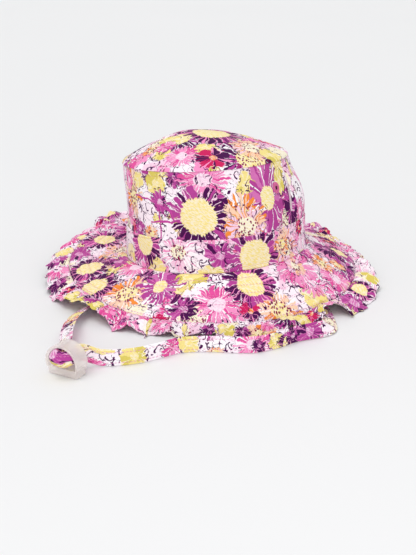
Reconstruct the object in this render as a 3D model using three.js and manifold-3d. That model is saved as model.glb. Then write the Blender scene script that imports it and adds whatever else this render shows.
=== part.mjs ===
// A toddler's cotton sun hat: a bucket crown, a stitched brim, a gathered ruffle and a chin strap
// with a clear slider. Millimetres, +Z up. The hat stands on a table at z = 0 and faces -Y.
import * as THREE from "three";
import { mergeVertices } from "three/addons/utils/BufferGeometryUtils.js";
import Module from "manifold-3d";

const wasm = await Module();
wasm.setup();

// Crown: the foot is the seam where it meets the brim, the tip is the round panel on top
const footWidth = 161;
const footDepth = 168;
const tipWidth = 146;
const tipDepth = 141;
const wallHeight = 83;
const tipRise = 24; // how far the tip panel domes up above its seam
const tipLip = 0.5; // how far the seam of the tip panel stands out over the wall
const footHeight = 30; // the middle of the foot above the table
const footAside = 4; // the soft crown sits a little to the right of the brim's middle
const tipAside = -10.5; // and its top has slumped to the left
const tipBack = 5; // and to the back
const apexAside = -10; // the highest point of the tip, from the tip's middle
const footRoll = 0.068; // the foot's right side is up, as a rise for each millimetre to the right
const footPitch = 0.058; // its front is up, as a rise for each millimetre to the front
const tipRoll = 0.054; // and the same two slopes of the tip's seam
const tipPitch = 0.072;
const panelWall = 1.4; // cotton with its seam allowance
const bandHeight = 27;
const bandWall = 1.2;

// Brim and ruffle
const brimWidth = 263; // across the seam between the brim and the ruffle
const brimDepth = 263;
const brimWall = 2.6; // two cloths with wadding between them
const brimRipple = 0.8;
const ruffleReach = 21;
const ruffleWall = 1.8; // the strip is doubled
const gatherCount = 44;
const gatherHeight = 4;
const seamGap = 0.3; // between pieces that are sewn together

// Vent hole on the wall
const ventAngle = 49.5;
const ventRise = 0.737; // share of the wall's height
const ventHole = 3;
const ventRing = 10;
const ventRingHeight = 0.9;

// Chin strap and slider
const strapWidth = 13;
const strapWall = 1.8;
const sliderWidth = 27;
const sliderDepth = 13;
const sliderBase = 6.3;
const sliderHeight = 24.8;
const sliderArchWidth = 28;
const sliderSideWall = 1.7;
const sliderTopWall = 2;
const sliderOverhang = 0.4; // how far the arch stands out before and behind its base
const sliderTurn = 29; // degrees that its window looks to the left of the front
const sliderX = -107.5;
const sliderY = -204;

// Round the rim, in degrees from the front with + to the right. seam and hem are heights as shares
// of footHeight, reach is a share of ruffleReach, gather a share of gatherHeight.
const rim = [
  { angle: -172, seam: 0.5, hem: -0.55, reach: 1.0, gather: 0.2 },
  { angle: -158, seam: 0.62, hem: 0.1, reach: 1.0, gather: 0.9 },
  { angle: -147, seam: 0.76, hem: 0.66, reach: 0.95, gather: 0.8 },
  { angle: -139, seam: 0.82, hem: 0.96, reach: 0.9, gather: 0.5 },
  { angle: -131, seam: 0.82, hem: 0.92, reach: 0.85, gather: 0.5 },
  { angle: -124, seam: 0.8, hem: 0.5, reach: 0.95, gather: 0.7 },
  { angle: -110, seam: 0.72, hem: 0.4, reach: 1.0, gather: 0.8 },
  { angle: -96, seam: 0.58, hem: 0.32, reach: 1.05, gather: 0.9 },
  { angle: -80, seam: 0.5, hem: 0.24, reach: 1.0, gather: 0.9 },
  { angle: -66, seam: 0.42, hem: 0.0, reach: 1.0, gather: 0.5 },
  { angle: -57, seam: 0.4, hem: 0.3, reach: 0.9, gather: 0.35 },
  { angle: -46, seam: 0.39, hem: 0.46, reach: 0.75, gather: 0.15 },
  { angle: -39, seam: 0.34, hem: 0.34, reach: 0.75, gather: 0.3 },
  { angle: -32, seam: 0.3, hem: 0.02, reach: 0.95, gather: 0.3 },
  { angle: -27, seam: 0.29, hem: 0.24, reach: 0.8, gather: 0.3 },
  { angle: -21, seam: 0.28, hem: -0.04, reach: 0.86, gather: 0.2 },
  { angle: -15, seam: 0.28, hem: 0.18, reach: 0.68, gather: 0.3 },
  { angle: -9, seam: 0.28, hem: -0.03, reach: 0.72, gather: 0.2 },
  { angle: -4, seam: 0.27, hem: 0.18, reach: 0.55, gather: 0.3 },
  { angle: 3, seam: 0.27, hem: 0.04, reach: 0.62, gather: 0.6 },
  { angle: 12, seam: 0.25, hem: -0.12, reach: 0.78, gather: 0.4 },
  { angle: 19, seam: 0.24, hem: 0.05, reach: 0.72, gather: 0.3 },
  { angle: 26, seam: 0.24, hem: 0.22, reach: 0.7, gather: 0.2 },
  { angle: 32, seam: 0.25, hem: 0.05, reach: 0.95, gather: 0.2 },
  { angle: 37, seam: 0.27, hem: 0.22, reach: 0.75, gather: 0.15 },
  { angle: 42, seam: 0.29, hem: 0.42, reach: 0.4, gather: 0.1 },
  { angle: 46, seam: 0.29, hem: 0.38, reach: 0.5, gather: 0.1 },
  { angle: 51, seam: 0.28, hem: 0.02, reach: 1.1, gather: 0.4 },
  { angle: 61, seam: 0.28, hem: -0.1, reach: 1.05, gather: 0.8 },
  { angle: 73, seam: 0.33, hem: 0.2, reach: 1.0, gather: 0.9 },
  { angle: 90, seam: 0.4, hem: 0.3, reach: 0.75, gather: 0.9 },
  { angle: 105, seam: 0.46, hem: 0.38, reach: 0.55, gather: 0.7 },
  { angle: 118, seam: 0.54, hem: 0.46, reach: 0.4, gather: 0.6 },
  { angle: 130, seam: 0.6, hem: 0.64, reach: 0.65, gather: 0.8 },
  { angle: 139, seam: 0.6, hem: 0.56, reach: 0.75, gather: 0.9 },
  { angle: 152, seam: 0.57, hem: 0.14, reach: 1.0, gather: 0.9 },
  { angle: 168, seam: 0.5, hem: -0.55, reach: 1.0, gather: 0.2 },
];

// Soft hollows and swellings of the crown's wall. span is in degrees, rise and tall are shares of
// wallHeight, out is a share of footWidth.
const dents = [
  { angle: 88, span: 30, rise: 0.58, tall: 0.36, out: 0.046 },
  { angle: 54, span: 7, rise: 0.62, tall: 0.5, out: -0.016 },
  { angle: 40, span: 12, rise: 0.6, tall: 0.45, out: 0.01 },
  { angle: 12, span: 22, rise: 0.45, tall: 0.4, out: 0.012 },
  { angle: -30, span: 12, rise: 0.35, tall: 0.4, out: -0.008 },
  { angle: -88, span: 30, rise: 0.5, tall: 0.4, out: -0.012 },
  { angle: 150, span: 26, rise: 0.5, tall: 0.4, out: -0.014 },
  { angle: -140, span: 30, rise: 0.45, tall: 0.4, out: 0.012 },
];

// The strap's middle line from its sewn end inside the left of the crown, through the slider and
// back, and along the front to its other end inside the right. wideX, wideY and wideZ point
// across the strap.
const strapRoute = [
  { x: -74, y: -3, z: 38, wideX: 0, wideY: 1, wideZ: 0 },
  { x: -73.8, y: -4, z: 25, wideX: 0, wideY: 1, wideZ: 0 },
  { x: -74.2, y: -9, z: 14, wideX: 0.1, wideY: 0.9, wideZ: 0.3 },
  { x: -77, y: -20, z: 9.3, wideX: 0, wideY: 0.4, wideZ: 0.9 },
  { x: -82, y: -37, z: 7.4, wideX: 0.1, wideY: 0, wideZ: 1 },
  { x: -89, y: -55, z: 6.8, wideX: 0.4, wideY: 0, wideZ: 0.9 },
  { x: -99, y: -74, z: 5.2, wideX: 0.75, wideY: 0, wideZ: 0.6 },
  { x: -107, y: -90, z: 4.6, wideX: 0.9, wideY: 0, wideZ: 0.42 },
  { x: -112.5, y: -105, z: 5.2, wideX: 0.93, wideY: 0, wideZ: 0.36 },
  { x: -115, y: -121, z: 7, wideX: 0.9, wideY: 0, wideZ: 0.44 },
  { x: -115, y: -141, z: 9.4, wideX: 0.88, wideY: 0, wideZ: 0.48 },
  { x: -113.6, y: -161, z: 11.4, wideX: 0.84, wideY: 0, wideZ: 0.54 },
  { x: -111, y: -176, z: 12.4, wideX: 0.7, wideY: 0, wideZ: 0.71 },
  { x: -108.6, y: -187, z: 13.4, wideX: 0.35, wideY: 0, wideZ: 0.94 },
  { x: -108.3, y: -194.4, z: 14, wideX: 0, wideY: 0, wideZ: 1 },
  { x: -111.3, y: -201.6, z: 14.3, wideX: 0, wideY: 0, wideZ: 1 },
  { x: -114.2, y: -205.9, z: 14.3, wideX: 0, wideY: 0, wideZ: 1 },
  { x: -114, y: -208.5, z: 14.3, wideX: 0, wideY: 0, wideZ: 1 },
  { x: -111.3, y: -211.1, z: 14.3, wideX: 0, wideY: 0, wideZ: 1 },
  { x: -107.7, y: -212, z: 14.3, wideX: 0, wideY: 0, wideZ: 1 },
  { x: -105.2, y: -210.2, z: 14.3, wideX: 0, wideY: 0, wideZ: 1 },
  { x: -103.4, y: -206.2, z: 14.3, wideX: 0, wideY: 0, wideZ: 1 },
  { x: -99.3, y: -198.2, z: 14, wideX: 0, wideY: 0, wideZ: 1 },
  { x: -94.4, y: -194.4, z: 11.3, wideX: 0, wideY: 0.05, wideZ: 1 },
  { x: -84, y: -193.6, z: 7.7, wideX: 0, wideY: 0.1, wideZ: 0.99 },
  { x: -70, y: -192, z: 6.8, wideX: 0, wideY: 0.1, wideZ: 0.99 },
  { x: -56, y: -188, z: 6.8, wideX: 0, wideY: 0.1, wideZ: 0.99 },
  { x: -41, y: -179.8, z: 6.8, wideX: 0, wideY: 0.1, wideZ: 0.99 },
  { x: -26, y: -170.5, z: 6.8, wideX: 0, wideY: 0.1, wideZ: 0.99 },
  { x: -7, y: -167.6, z: 6.8, wideX: 0, wideY: 0.1, wideZ: 0.99 },
  { x: 16, y: -169.4, z: 6.8, wideX: 0, wideY: 0.14, wideZ: 0.98 },
  { x: 33, y: -169, z: 6.8, wideX: 0, wideY: 0.2, wideZ: 0.97 },
  { x: 49, y: -161.6, z: 6.8, wideX: 0, wideY: 0.2, wideZ: 0.97 },
  { x: 65, y: -150, z: 6.8, wideX: -0.05, wideY: 0.2, wideZ: 0.97 },
  { x: 79, y: -143, z: 6.8, wideX: -0.1, wideY: 0.25, wideZ: 0.95 },
  { x: 89, y: -137.6, z: 6.4, wideX: -0.3, wideY: 0.3, wideZ: 0.88 },
  { x: 95, y: -127.8, z: 4, wideX: -0.86, wideY: 0.2, wideZ: 0.4 },
  { x: 95.5, y: -112, z: 3.2, wideX: -0.95, wideY: 0, wideZ: 0.3 },
  { x: 94.5, y: -93, z: 3, wideX: -0.97, wideY: 0, wideZ: 0.24 },
  { x: 92, y: -71, z: 5.4, wideX: -0.8, wideY: 0, wideZ: 0.6 },
  { x: 89, y: -46, z: 8, wideX: -0.3, wideY: 0, wideZ: 0.95 },
  { x: 83.4, y: -24, z: 12, wideX: 0, wideY: 0.4, wideZ: 0.9 },
  { x: 80.4, y: -10, z: 22, wideX: 0, wideY: 0.95, wideZ: 0.3 },
  { x: 79.4, y: -5, z: 36, wideX: 0, wideY: 1, wideZ: 0 },
  { x: 79, y: -4, z: 50, wideX: 0, wideY: 1, wideZ: 0 },
];

const crownSteps = 72;
const bandRows = 2; // rows of the wall that the band covers
const openWallRows = 3; // and rows above it
const tipRows = 5;
const brimRows = 5;
const ruffleSteps = 208;
const ruffleRows = 4;
const strapStepsPerRow = 2;

const halfTurn = 180; // in degrees
const degree = Math.PI / halfTurn;
const mix = (from, to, share) => from + (to - from) * share;
const ease = (share) => share * share * (3 - 2 * share);

// A value of a table that runs once round the hat, at any angle between its rows.
function around(table, column, angle) {
  const fullTurn = 2 * halfTurn;
  const at = ((((angle / degree + halfTurn) % fullTurn) + fullTurn) % fullTurn) - halfTurn;
  const next = table.findIndex((row) => row.angle > at);
  const after = table[Math.max(next, 0)];
  const before = table[next < 1 ? table.length - 1 : next - 1];
  const span = (after.angle - before.angle + fullTurn) % fullTurn;
  const into = (at - before.angle + fullTurn) % fullTurn;
  return mix(before[column], after[column], ease(into / span));
}

// The foot of the crown is a tilted plane, and the tip's seam another.
function tilt(x, y, rise) {
  return (x - footAside) * mix(footRoll, tipRoll, rise) - y * mix(footPitch, tipPitch, rise);
}

// How far the wall swells out at an angle and a share of its height.
function swelling(angle, rise) {
  let out = 0;
  for (const dent of dents) {
    const away = Math.atan2(Math.sin(angle - dent.angle * degree), Math.cos(angle - dent.angle * degree));
    const across = away / (dent.span * degree);
    const up = (rise - dent.rise) / dent.tall;
    out += dent.out * footWidth * Math.exp(-across * across - up * up);
  }
  return out * Math.sin(Math.PI * rise);
}

// A point of the wall's middle layer, moved out by a distance.
function wallPoint(angle, rise, out) {
  const more = swelling(angle, rise) + out;
  const x = footAside + tipAside * rise + (mix(footWidth, tipWidth, rise) / 2 + more) * Math.sin(angle);
  const y = tipBack * rise - (mix(footDepth, tipDepth, rise) / 2 + more) * Math.cos(angle);
  return new THREE.Vector3(x, y, footHeight + wallHeight * rise + tilt(x, y, rise));
}

// A point of the domed tip panel, share 0 at its seam and 1 at the highest point.
function tipPoint(angle, share, up) {
  const edge = wallPoint(angle, 1, panelWall / 2 + tipLip);
  const middleX = footAside + tipAside + apexAside;
  const x = mix(edge.x, middleX, share);
  const y = mix(edge.y, tipBack, share);
  const dome = tipRise * (1 - (1 - share) ** 1.7);
  return new THREE.Vector3(x, y, footHeight + wallHeight + seamGap + dome + up + tilt(x, y, 1));
}

// The seam between brim and ruffle.
function seamPoint(angle, out) {
  const x = (brimWidth / 2 + out) * Math.sin(angle);
  const y = -(brimDepth / 2 + out) * Math.cos(angle);
  return new THREE.Vector3(x, y, footHeight * around(rim, "seam", angle));
}

// A point of the brim, share 0 at its inner edge and 1 at the ruffle's seam. Its first row is the
// flat seam allowance that the wall and the band stand on.
function brimPoint(angle, share, up) {
  const inner = wallPoint(angle, 0, -panelWall / 2);
  const ledge = wallPoint(angle, 0, panelWall / 2 + bandWall + 2 * seamGap);
  const seam = seamPoint(angle, 0);
  const sewnShare = 1 / brimRows;
  const lower = up - seamGap - brimWall / 2;
  if (share <= sewnShare) {
    const place = inner.lerp(ledge, share / sewnShare);
    place.z += lower;
    return place;
  }
  const out = (share - sewnShare) / (1 - sewnShare);
  const ripple = brimRipple * Math.sin(5 * angle + 0.6) * Math.sin(Math.PI * out);
  return new THREE.Vector3(
    mix(ledge.x, seam.x, out),
    mix(ledge.y, seam.y, out),
    mix(ledge.z + lower, seam.z + up, out ** 1.1) + ripple,
  );
}

// The gathers: waves of uneven width and height.
function gatherWave(angle) {
  const phase = gatherCount * angle + 1.1 * Math.sin(3 * angle + 0.4) + 0.8 * Math.sin(7 * angle + 2);
  const strength = 0.66 + 0.34 * Math.sin(5 * angle + 1.3);
  return { high: strength * Math.sin(phase), out: strength * Math.cos(phase + 0.5) };
}

// A point of the ruffle, share 0 at the seam and 1 at the hem. It can't go through the table.
function rufflePoint(angle, share, up) {
  const wave = gatherWave(angle);
  const gather = gatherHeight * around(rim, "gather", angle) * share ** 0.8;
  const reach = ruffleReach * around(rim, "reach", angle);
  const seam = seamPoint(angle, seamGap);
  const edge = seamPoint(angle, seamGap + reach * share + 0.5 * gather * wave.out * share);
  const hemHeight = footHeight * around(rim, "hem", angle);
  const drape = mix(seam.z, hemHeight, share) + 0.12 * reach * Math.sin(Math.PI * share);
  const middle = Math.max(drape + gather * wave.high, ruffleWall / 2);
  return new THREE.Vector3(edge.x, edge.y, middle + up);
}

// A closed ring of cloth from two functions of angle and share that give its two faces.
// With closedTop its last row is one point, as at the top of a dome.
function clothRing(outerFace, innerFace, steps, rows, closedTop = false) {
  const points = [];
  const faces = [];
  const openRows = closedTop ? rows : rows + 1;
  for (const face of [outerFace, innerFace]) {
    for (let row = 0; row < openRows; row++) {
      for (let step = 0; step < steps; step++) {
        points.push(...face((step / steps) * 2 * Math.PI, row / rows).toArray());
      }
    }
  }
  const at = (layer, row, step) => (layer * openRows + row) * steps + (step % steps);
  const quad = (a, b, c, d) => faces.push(a, b, c, a, c, d);
  const apexes = [];
  if (closedTop) {
    for (const face of [outerFace, innerFace]) {
      apexes.push(points.length / 3);
      points.push(...face(0, 1).toArray());
    }
  }
  for (let step = 0; step < steps; step++) {
    for (let row = 0; row < openRows - 1; row++) {
      quad(at(0, row, step), at(0, row, step + 1), at(0, row + 1, step + 1), at(0, row + 1, step));
      quad(at(1, row + 1, step + 1), at(1, row, step + 1), at(1, row, step), at(1, row + 1, step));
    }
    quad(at(1, 0, step), at(1, 0, step + 1), at(0, 0, step + 1), at(0, 0, step));
    const last = openRows - 1;
    if (closedTop) {
      faces.push(at(0, last, step), at(0, last, step + 1), apexes[0]);
      faces.push(at(1, last, step + 1), at(1, last, step), apexes[1]);
    } else {
      quad(at(0, last, step), at(0, last, step + 1), at(1, last, step + 1), at(1, last, step));
    }
  }
  const geometry = new THREE.BufferGeometry();
  geometry.setAttribute("position", new THREE.Float32BufferAttribute(points, 3));
  geometry.setIndex(faces);
  return geometry;
}

// A three.js geometry as a solid that can be cut and joined, and back.
function toSolid(geometry) {
  const plain = geometry.clone();
  plain.deleteAttribute("normal");
  plain.deleteAttribute("uv");
  const merged = mergeVertices(plain, 1e-4);
  return new wasm.Manifold(
    new wasm.Mesh({
      numProp: 3,
      vertProperties: merged.getAttribute("position").array,
      triVerts: new Uint32Array(merged.index.array),
    }),
  );
}

function fromSolid(solid) {
  const mesh = solid.getMesh();
  const geometry = new THREE.BufferGeometry();
  const points = [];
  for (let vertex = 0; vertex < mesh.numVert; vertex++) {
    points.push(...mesh.vertProperties.slice(vertex * mesh.numProp, vertex * mesh.numProp + 3));
  }
  geometry.setAttribute("position", new THREE.Float32BufferAttribute(points, 3));
  geometry.setIndex([...mesh.triVerts]);
  return geometry;
}

function cloth(name, geometry, color) {
  const mesh = new THREE.Mesh(geometry, new THREE.MeshStandardMaterial({ color, roughness: 0.9, metalness: 0 }));
  mesh.name = name;
  geometry.computeVertexNormals();
  return mesh;
}

// The frame of the vent on the wall: its place and the way it looks.
function ventFrame(out) {
  const angle = ventAngle * degree;
  const place = wallPoint(angle, ventRise, out);
  const beside = wallPoint(angle + 0.03, ventRise, out).sub(place);
  const above = wallPoint(angle, ventRise + 0.02, out).sub(place);
  const facing = beside.cross(above).normalize();
  const turn = new THREE.Quaternion().setFromUnitVectors(new THREE.Vector3(0, 1, 0), facing);
  return { place, facing, turn };
}

function makeCrownTip() {
  const top = (angle, share) => tipPoint(angle, share, panelWall);
  const under = (angle, share) => tipPoint(angle, share, 0);
  return cloth("crown_tip", clothRing(top, under, crownSteps, tipRows, true), 0xe9b7cf);
}

function makeCrownSide() {
  const rows = bandRows + openWallRows;
  const bandTop = bandHeight / wallHeight;
  const rise = (share) => {
    const row = share * rows;
    return row < bandRows ? (bandTop * row) / bandRows : mix(bandTop, 1, (row - bandRows) / openWallRows);
  };
  const outside = (angle, share) => wallPoint(angle, rise(share), panelWall / 2);
  const inside = (angle, share) => wallPoint(angle, rise(share), -panelWall / 2);
  const wall = toSolid(clothRing(outside, inside, crownSteps, rows));
  const vent = ventFrame(0);
  const drill = new THREE.CylinderGeometry(ventHole / 2, ventHole / 2, 8 * panelWall, 16);
  drill.applyQuaternion(vent.turn).translate(...vent.place.toArray());
  return cloth("crown_side", fromSolid(wall.subtract(toSolid(drill))), 0xedc3d6);
}

function makeCrownBand() {
  const near = panelWall / 2 + seamGap;
  const top = bandHeight / wallHeight;
  const outside = (angle, share) => wallPoint(angle, share * top, near + bandWall);
  const inside = (angle, share) => wallPoint(angle, share * top, near);
  return cloth("crown_band", clothRing(outside, inside, crownSteps, bandRows), 0xd9a0c4);
}

function makeBrim() {
  const top = (angle, share) => brimPoint(angle, 1 - share, brimWall / 2);
  const under = (angle, share) => brimPoint(angle, 1 - share, -brimWall / 2);
  return cloth("brim", clothRing(top, under, crownSteps, brimRows), 0xe8b4cd);
}

function makeRuffle() {
  const top = (angle, share) => rufflePoint(angle, 1 - share, ruffleWall / 2);
  const under = (angle, share) => rufflePoint(angle, 1 - share, -ruffleWall / 2);
  return cloth("brim_ruffle", clothRing(top, under, ruffleSteps, ruffleRows), 0xd79ac0);
}

// The embroidered ring round the vent hole, a lathed ring with a soft section.
function makeVentEyelet() {
  const inner = ventHole / 2;
  const outer = ventRing / 2;
  const section = [
    [inner, 0],
    [outer, 0],
    [outer, ventRingHeight * 0.5],
    [mix(inner, outer, 0.7), ventRingHeight],
    [mix(inner, outer, 0.3), ventRingHeight],
    [inner, ventRingHeight * 0.5],
    [inner, 0],
  ].map(([radius, height]) => new THREE.Vector2(radius, height));
  const vent = ventFrame(panelWall / 2 + 2 * seamGap);
  const ring = new THREE.LatheGeometry(section, 20);
  ring.applyQuaternion(vent.turn).translate(...vent.place.toArray());
  return cloth("vent_eyelet", fromSolid(toSolid(ring)), 0xe58ab4);
}

// The flat sewn tube of the strap, a section with eight corners that follows the route.
function makeChinStrap() {
  const route = new THREE.CatmullRomCurve3(
    strapRoute.map((row) => new THREE.Vector3(row.x, row.y, row.z)),
    false,
    "centripetal",
  );
  const halfWidth = strapWidth / 2;
  const halfWall = strapWall / 2;
  const section = [
    [halfWidth, -halfWall * 0.4],
    [halfWidth, halfWall * 0.4],
    [halfWidth * 0.92, halfWall],
    [-halfWidth * 0.92, halfWall],
    [-halfWidth, halfWall * 0.4],
    [-halfWidth, -halfWall * 0.4],
    [-halfWidth * 0.92, -halfWall],
    [halfWidth * 0.92, -halfWall],
  ];
  const steps = (strapRoute.length - 1) * strapStepsPerRow;
  const points = [];
  for (let step = 0; step <= steps; step++) {
    const row = Math.min(Math.floor(step / strapStepsPerRow), strapRoute.length - 2);
    const share = step / strapStepsPerRow - row;
    const from = strapRoute[row];
    const to = strapRoute[row + 1];
    const wide = new THREE.Vector3(
      mix(from.wideX, to.wideX, share),
      mix(from.wideY, to.wideY, share),
      mix(from.wideZ, to.wideZ, share),
    );
    const middle = route.getPoint(step / steps);
    const ahead = route.getTangent(step / steps);
    wide.addScaledVector(ahead, -wide.dot(ahead)).normalize();
    const thick = ahead.clone().cross(wide);
    for (const [across, through] of section) {
      points.push(...middle.clone().addScaledVector(wide, across).addScaledVector(thick, through).toArray());
    }
  }
  const sides = section.length;
  const faces = [];
  for (let step = 0; step < steps; step++) {
    for (let side = 0; side < sides; side++) {
      const a = step * sides + side;
      const b = step * sides + ((side + 1) % sides);
      faces.push(a, b, b + sides, a, b + sides, a + sides);
    }
  }
  for (let side = 1; side < sides - 1; side++) {
    faces.push(0, side + 1, side);
    faces.push(steps * sides, steps * sides + side, steps * sides + side + 1);
  }
  const geometry = new THREE.BufferGeometry();
  geometry.setAttribute("position", new THREE.Float32BufferAttribute(points, 3));
  geometry.setIndex(faces);
  return cloth("chin_strap", geometry, 0xf0cfdd);
}

// A round arch that stands on the ground line, as a shape or a hole.
function archOutline(path, halfWidth, height, bottom) {
  path.moveTo(-halfWidth, bottom);
  path.lineTo(halfWidth, bottom);
  path.lineTo(halfWidth, bottom + height - halfWidth);
  path.absarc(0, bottom + height - halfWidth, halfWidth, 0, Math.PI, false);
  path.lineTo(-halfWidth, bottom);
  return path;
}

// The clear slider: an arch with a window right through it, on a thick base.
function makeSlider() {
  const bevel = 1;
  const archHeight = sliderHeight - sliderBase;
  const arch = archOutline(new THREE.Shape(), sliderArchWidth / 2 - bevel, archHeight - bevel, 0);
  const windowHalf = sliderArchWidth / 2 - sliderSideWall - bevel;
  const window = archOutline(new THREE.Path(), windowHalf + bevel, archHeight - sliderTopWall, 0.01);
  const depth = sliderDepth + 2 * (sliderOverhang - bevel);
  const full = new THREE.ExtrudeGeometry(arch, {
    bevelThickness: bevel,
    bevelSize: bevel,
    bevelSegments: 2,
    curveSegments: 12,
    depth: depth,
  });
  full.rotateX(Math.PI / 2).translate(0, depth / 2, sliderBase);
  const passage = new THREE.ExtrudeGeometry(new THREE.Shape(window.getPoints(12)), {
    bevelEnabled: false,
    depth: 2 * sliderDepth,
  });
  passage.rotateX(Math.PI / 2).translate(0, sliderDepth, sliderBase);
  const corner = 3;
  const baseBevel = 0.6;
  const halfWidth = sliderWidth / 2 - baseBevel;
  const halfDepth = sliderDepth / 2 - baseBevel;
  const plan = new THREE.Shape();
  plan.moveTo(-halfWidth + corner, -halfDepth);
  plan.lineTo(halfWidth - corner, -halfDepth);
  plan.absarc(halfWidth - corner, -halfDepth + corner, corner, -Math.PI / 2, 0, false);
  plan.lineTo(halfWidth, halfDepth - corner);
  plan.absarc(halfWidth - corner, halfDepth - corner, corner, 0, Math.PI / 2, false);
  plan.lineTo(-halfWidth + corner, halfDepth);
  plan.absarc(-halfWidth + corner, halfDepth - corner, corner, Math.PI / 2, Math.PI, false);
  plan.lineTo(-halfWidth, -halfDepth + corner);
  plan.absarc(-halfWidth + corner, -halfDepth + corner, corner, Math.PI, 1.5 * Math.PI, false);
  const base = new THREE.ExtrudeGeometry(plan, {
    bevelThickness: baseBevel,
    bevelSize: baseBevel,
    bevelSegments: 1,
    curveSegments: 3,
    depth: sliderBase - 2 * baseBevel,
  });
  base.translate(0, 0, baseBevel);
  const solid = toSolid(full).subtract(toSolid(passage)).add(toSolid(base));
  const plastic = new THREE.MeshStandardMaterial({
    color: 0xe9e4e2,
    roughness: 0.12,
    metalness: 0,
    transparent: true,
    opacity: 0.35,
  });
  const mesh = new THREE.Mesh(fromSolid(solid), plastic);
  mesh.name = "strap_toggle";
  mesh.rotation.z = -sliderTurn * degree;
  mesh.position.set(sliderX, sliderY, 0);
  return mesh;
}

const hat = new THREE.Group();
hat.add(makeCrownTip(), makeCrownSide(), makeCrownBand(), makeBrim(), makeRuffle(), makeVentEyelet());

// The middle of the hat is the origin, and the strap and slider keep their places beside it.
const bounds = new THREE.Box3().setFromObject(hat);
const part = new THREE.Group();
part.add(hat, makeChinStrap(), makeSlider());
part.position.set(-(bounds.min.x + bounds.max.x) / 2, -(bounds.min.y + bounds.max.y) / 2, 0);

export default part;
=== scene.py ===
# A toddler's sun hat of flower-print cotton: bucket crown, stitched brim, gathered ruffle and a flat
# chin strap with a clear slider. Shapes are worked out in millimetres and turned to metres at the end.
import math

import bmesh
import bpy
import numpy as np
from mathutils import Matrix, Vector


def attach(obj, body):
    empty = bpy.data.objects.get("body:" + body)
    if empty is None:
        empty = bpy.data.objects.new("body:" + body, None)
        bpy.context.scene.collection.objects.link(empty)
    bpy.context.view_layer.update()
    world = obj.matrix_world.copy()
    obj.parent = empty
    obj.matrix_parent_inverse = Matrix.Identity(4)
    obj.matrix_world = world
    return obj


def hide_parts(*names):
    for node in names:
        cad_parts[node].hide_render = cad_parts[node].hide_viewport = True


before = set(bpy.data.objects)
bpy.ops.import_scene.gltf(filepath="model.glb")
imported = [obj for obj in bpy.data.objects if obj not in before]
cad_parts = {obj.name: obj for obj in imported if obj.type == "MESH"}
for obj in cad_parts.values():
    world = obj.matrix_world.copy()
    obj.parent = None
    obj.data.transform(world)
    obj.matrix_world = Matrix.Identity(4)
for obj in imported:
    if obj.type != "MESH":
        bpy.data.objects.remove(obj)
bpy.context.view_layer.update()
print("frame loaded,", len(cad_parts), "CAD nodes")

scene = bpy.context.scene
# The hat's own sizes in millimetres, as in the CAD source
crown = {
    "footWidth": 161.0, "footDepth": 168.0, "tipWidth": 146.0, "tipDepth": 141.0,
    "wallHeight": 83.0, "tipRise": 24.0, "footHeight": 30.0,
    "footAside": 4.0, "tipAside": -10.5, "tipBack": 5.0, "apexAside": -10.0,
    "footRoll": 0.068, "footPitch": 0.058, "tipRoll": 0.054, "tipPitch": 0.072,
    "panelWall": 1.4, "bandHeight": 27.0, "bandWall": 1.2, "tipOverhang": 0.5, "domeCurve": 1.7,
}
rimShape = {
    "brimWidth": 263.0, "brimWall": 2.6, "brimRipple": 0.8, "ledgeShare": 0.2,
    "ruffleReach": 21.0, "gatherCount": 44, "gatherHeight": 4.0,
}
seamGap = 0.3
hatShift = np.array([2.262, -3.459, 0.0])  # puts the hat's outline in the middle of the frame

# Round the rim: degrees from the front with + to the right, seam height, hem height (shares of
# footHeight), reach (share of ruffleReach), gather (share of gatherHeight)
rimRows = np.array([
    (-172, .5, -.55, 1, .2), (-158, .62, .1, 1, .9), (-147, .76, .66, .95, .8), (-139, .82, .96, .9, .5),
    (-131, .82, .92, .85, .5), (-124, .8, .5, .95, .7), (-110, .72, .4, 1, .8), (-96, .58, .32, 1.05, .9),
    (-80, .5, .24, 1, .9), (-66, .42, 0, 1, .5), (-57, .4, .3, .9, .35), (-46, .39, .46, .75, .15),
    (-39, .34, .34, .75, .3), (-32, .3, .02, .95, .3), (-27, .29, .24, .8, .3), (-21, .28, -.04, .86, .2),
    (-15, .28, .18, .68, .3), (-9, .28, -.03, .72, .2), (-4, .27, .18, .55, .3), (3, .27, .04, .62, .6),
    (12, .25, -.12, .78, .4), (19, .24, .05, .72, .3), (26, .24, .22, .7, .2), (32, .25, .05, .95, .2),
    (37, .27, .22, .75, .15), (42, .29, .42, .4, .1), (46, .29, .38, .5, .1), (51, .28, .02, 1.1, .4),
    (61, .28, -.1, 1.05, .8), (73, .33, .2, 1, .9), (90, .4, .3, .75, .9), (105, .46, .38, .55, .7),
    (118, .54, .46, .4, .6), (130, .6, .64, .65, .8), (139, .6, .56, .75, .9), (152, .57, .14, 1, .9),
    (168, .5, -.55, 1, .2),
])
# Soft hollows and swellings of the wall: angle, span in degrees, rise, tall, out (share of footWidth)
dents = [
    (88, 30, .58, .36, .046), (54, 7, .62, .5, -.016), (40, 12, .6, .45, .01),
    (12, 22, .45, .4, .012), (-30, 12, .35, .4, -.008), (-88, 30, .5, .4, -.012),
    (150, 26, .5, .4, -.014), (-140, 30, .45, .4, .012),
]


def mix(a, b, share):
    return a + (b - a) * share


def ease(share):
    share = np.clip(share, 0, 1)
    return share * share * (3 - 2 * share)


def bell(away, width):  # 1 in the middle, and next to nothing two widths away from it
    return np.exp(-(away / width) ** 2)


def turnedFrom(angle, at):  # how far round the hat an angle lies from another one, in radians
    return np.arctan2(np.sin(angle - at), np.cos(angle - at))


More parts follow.
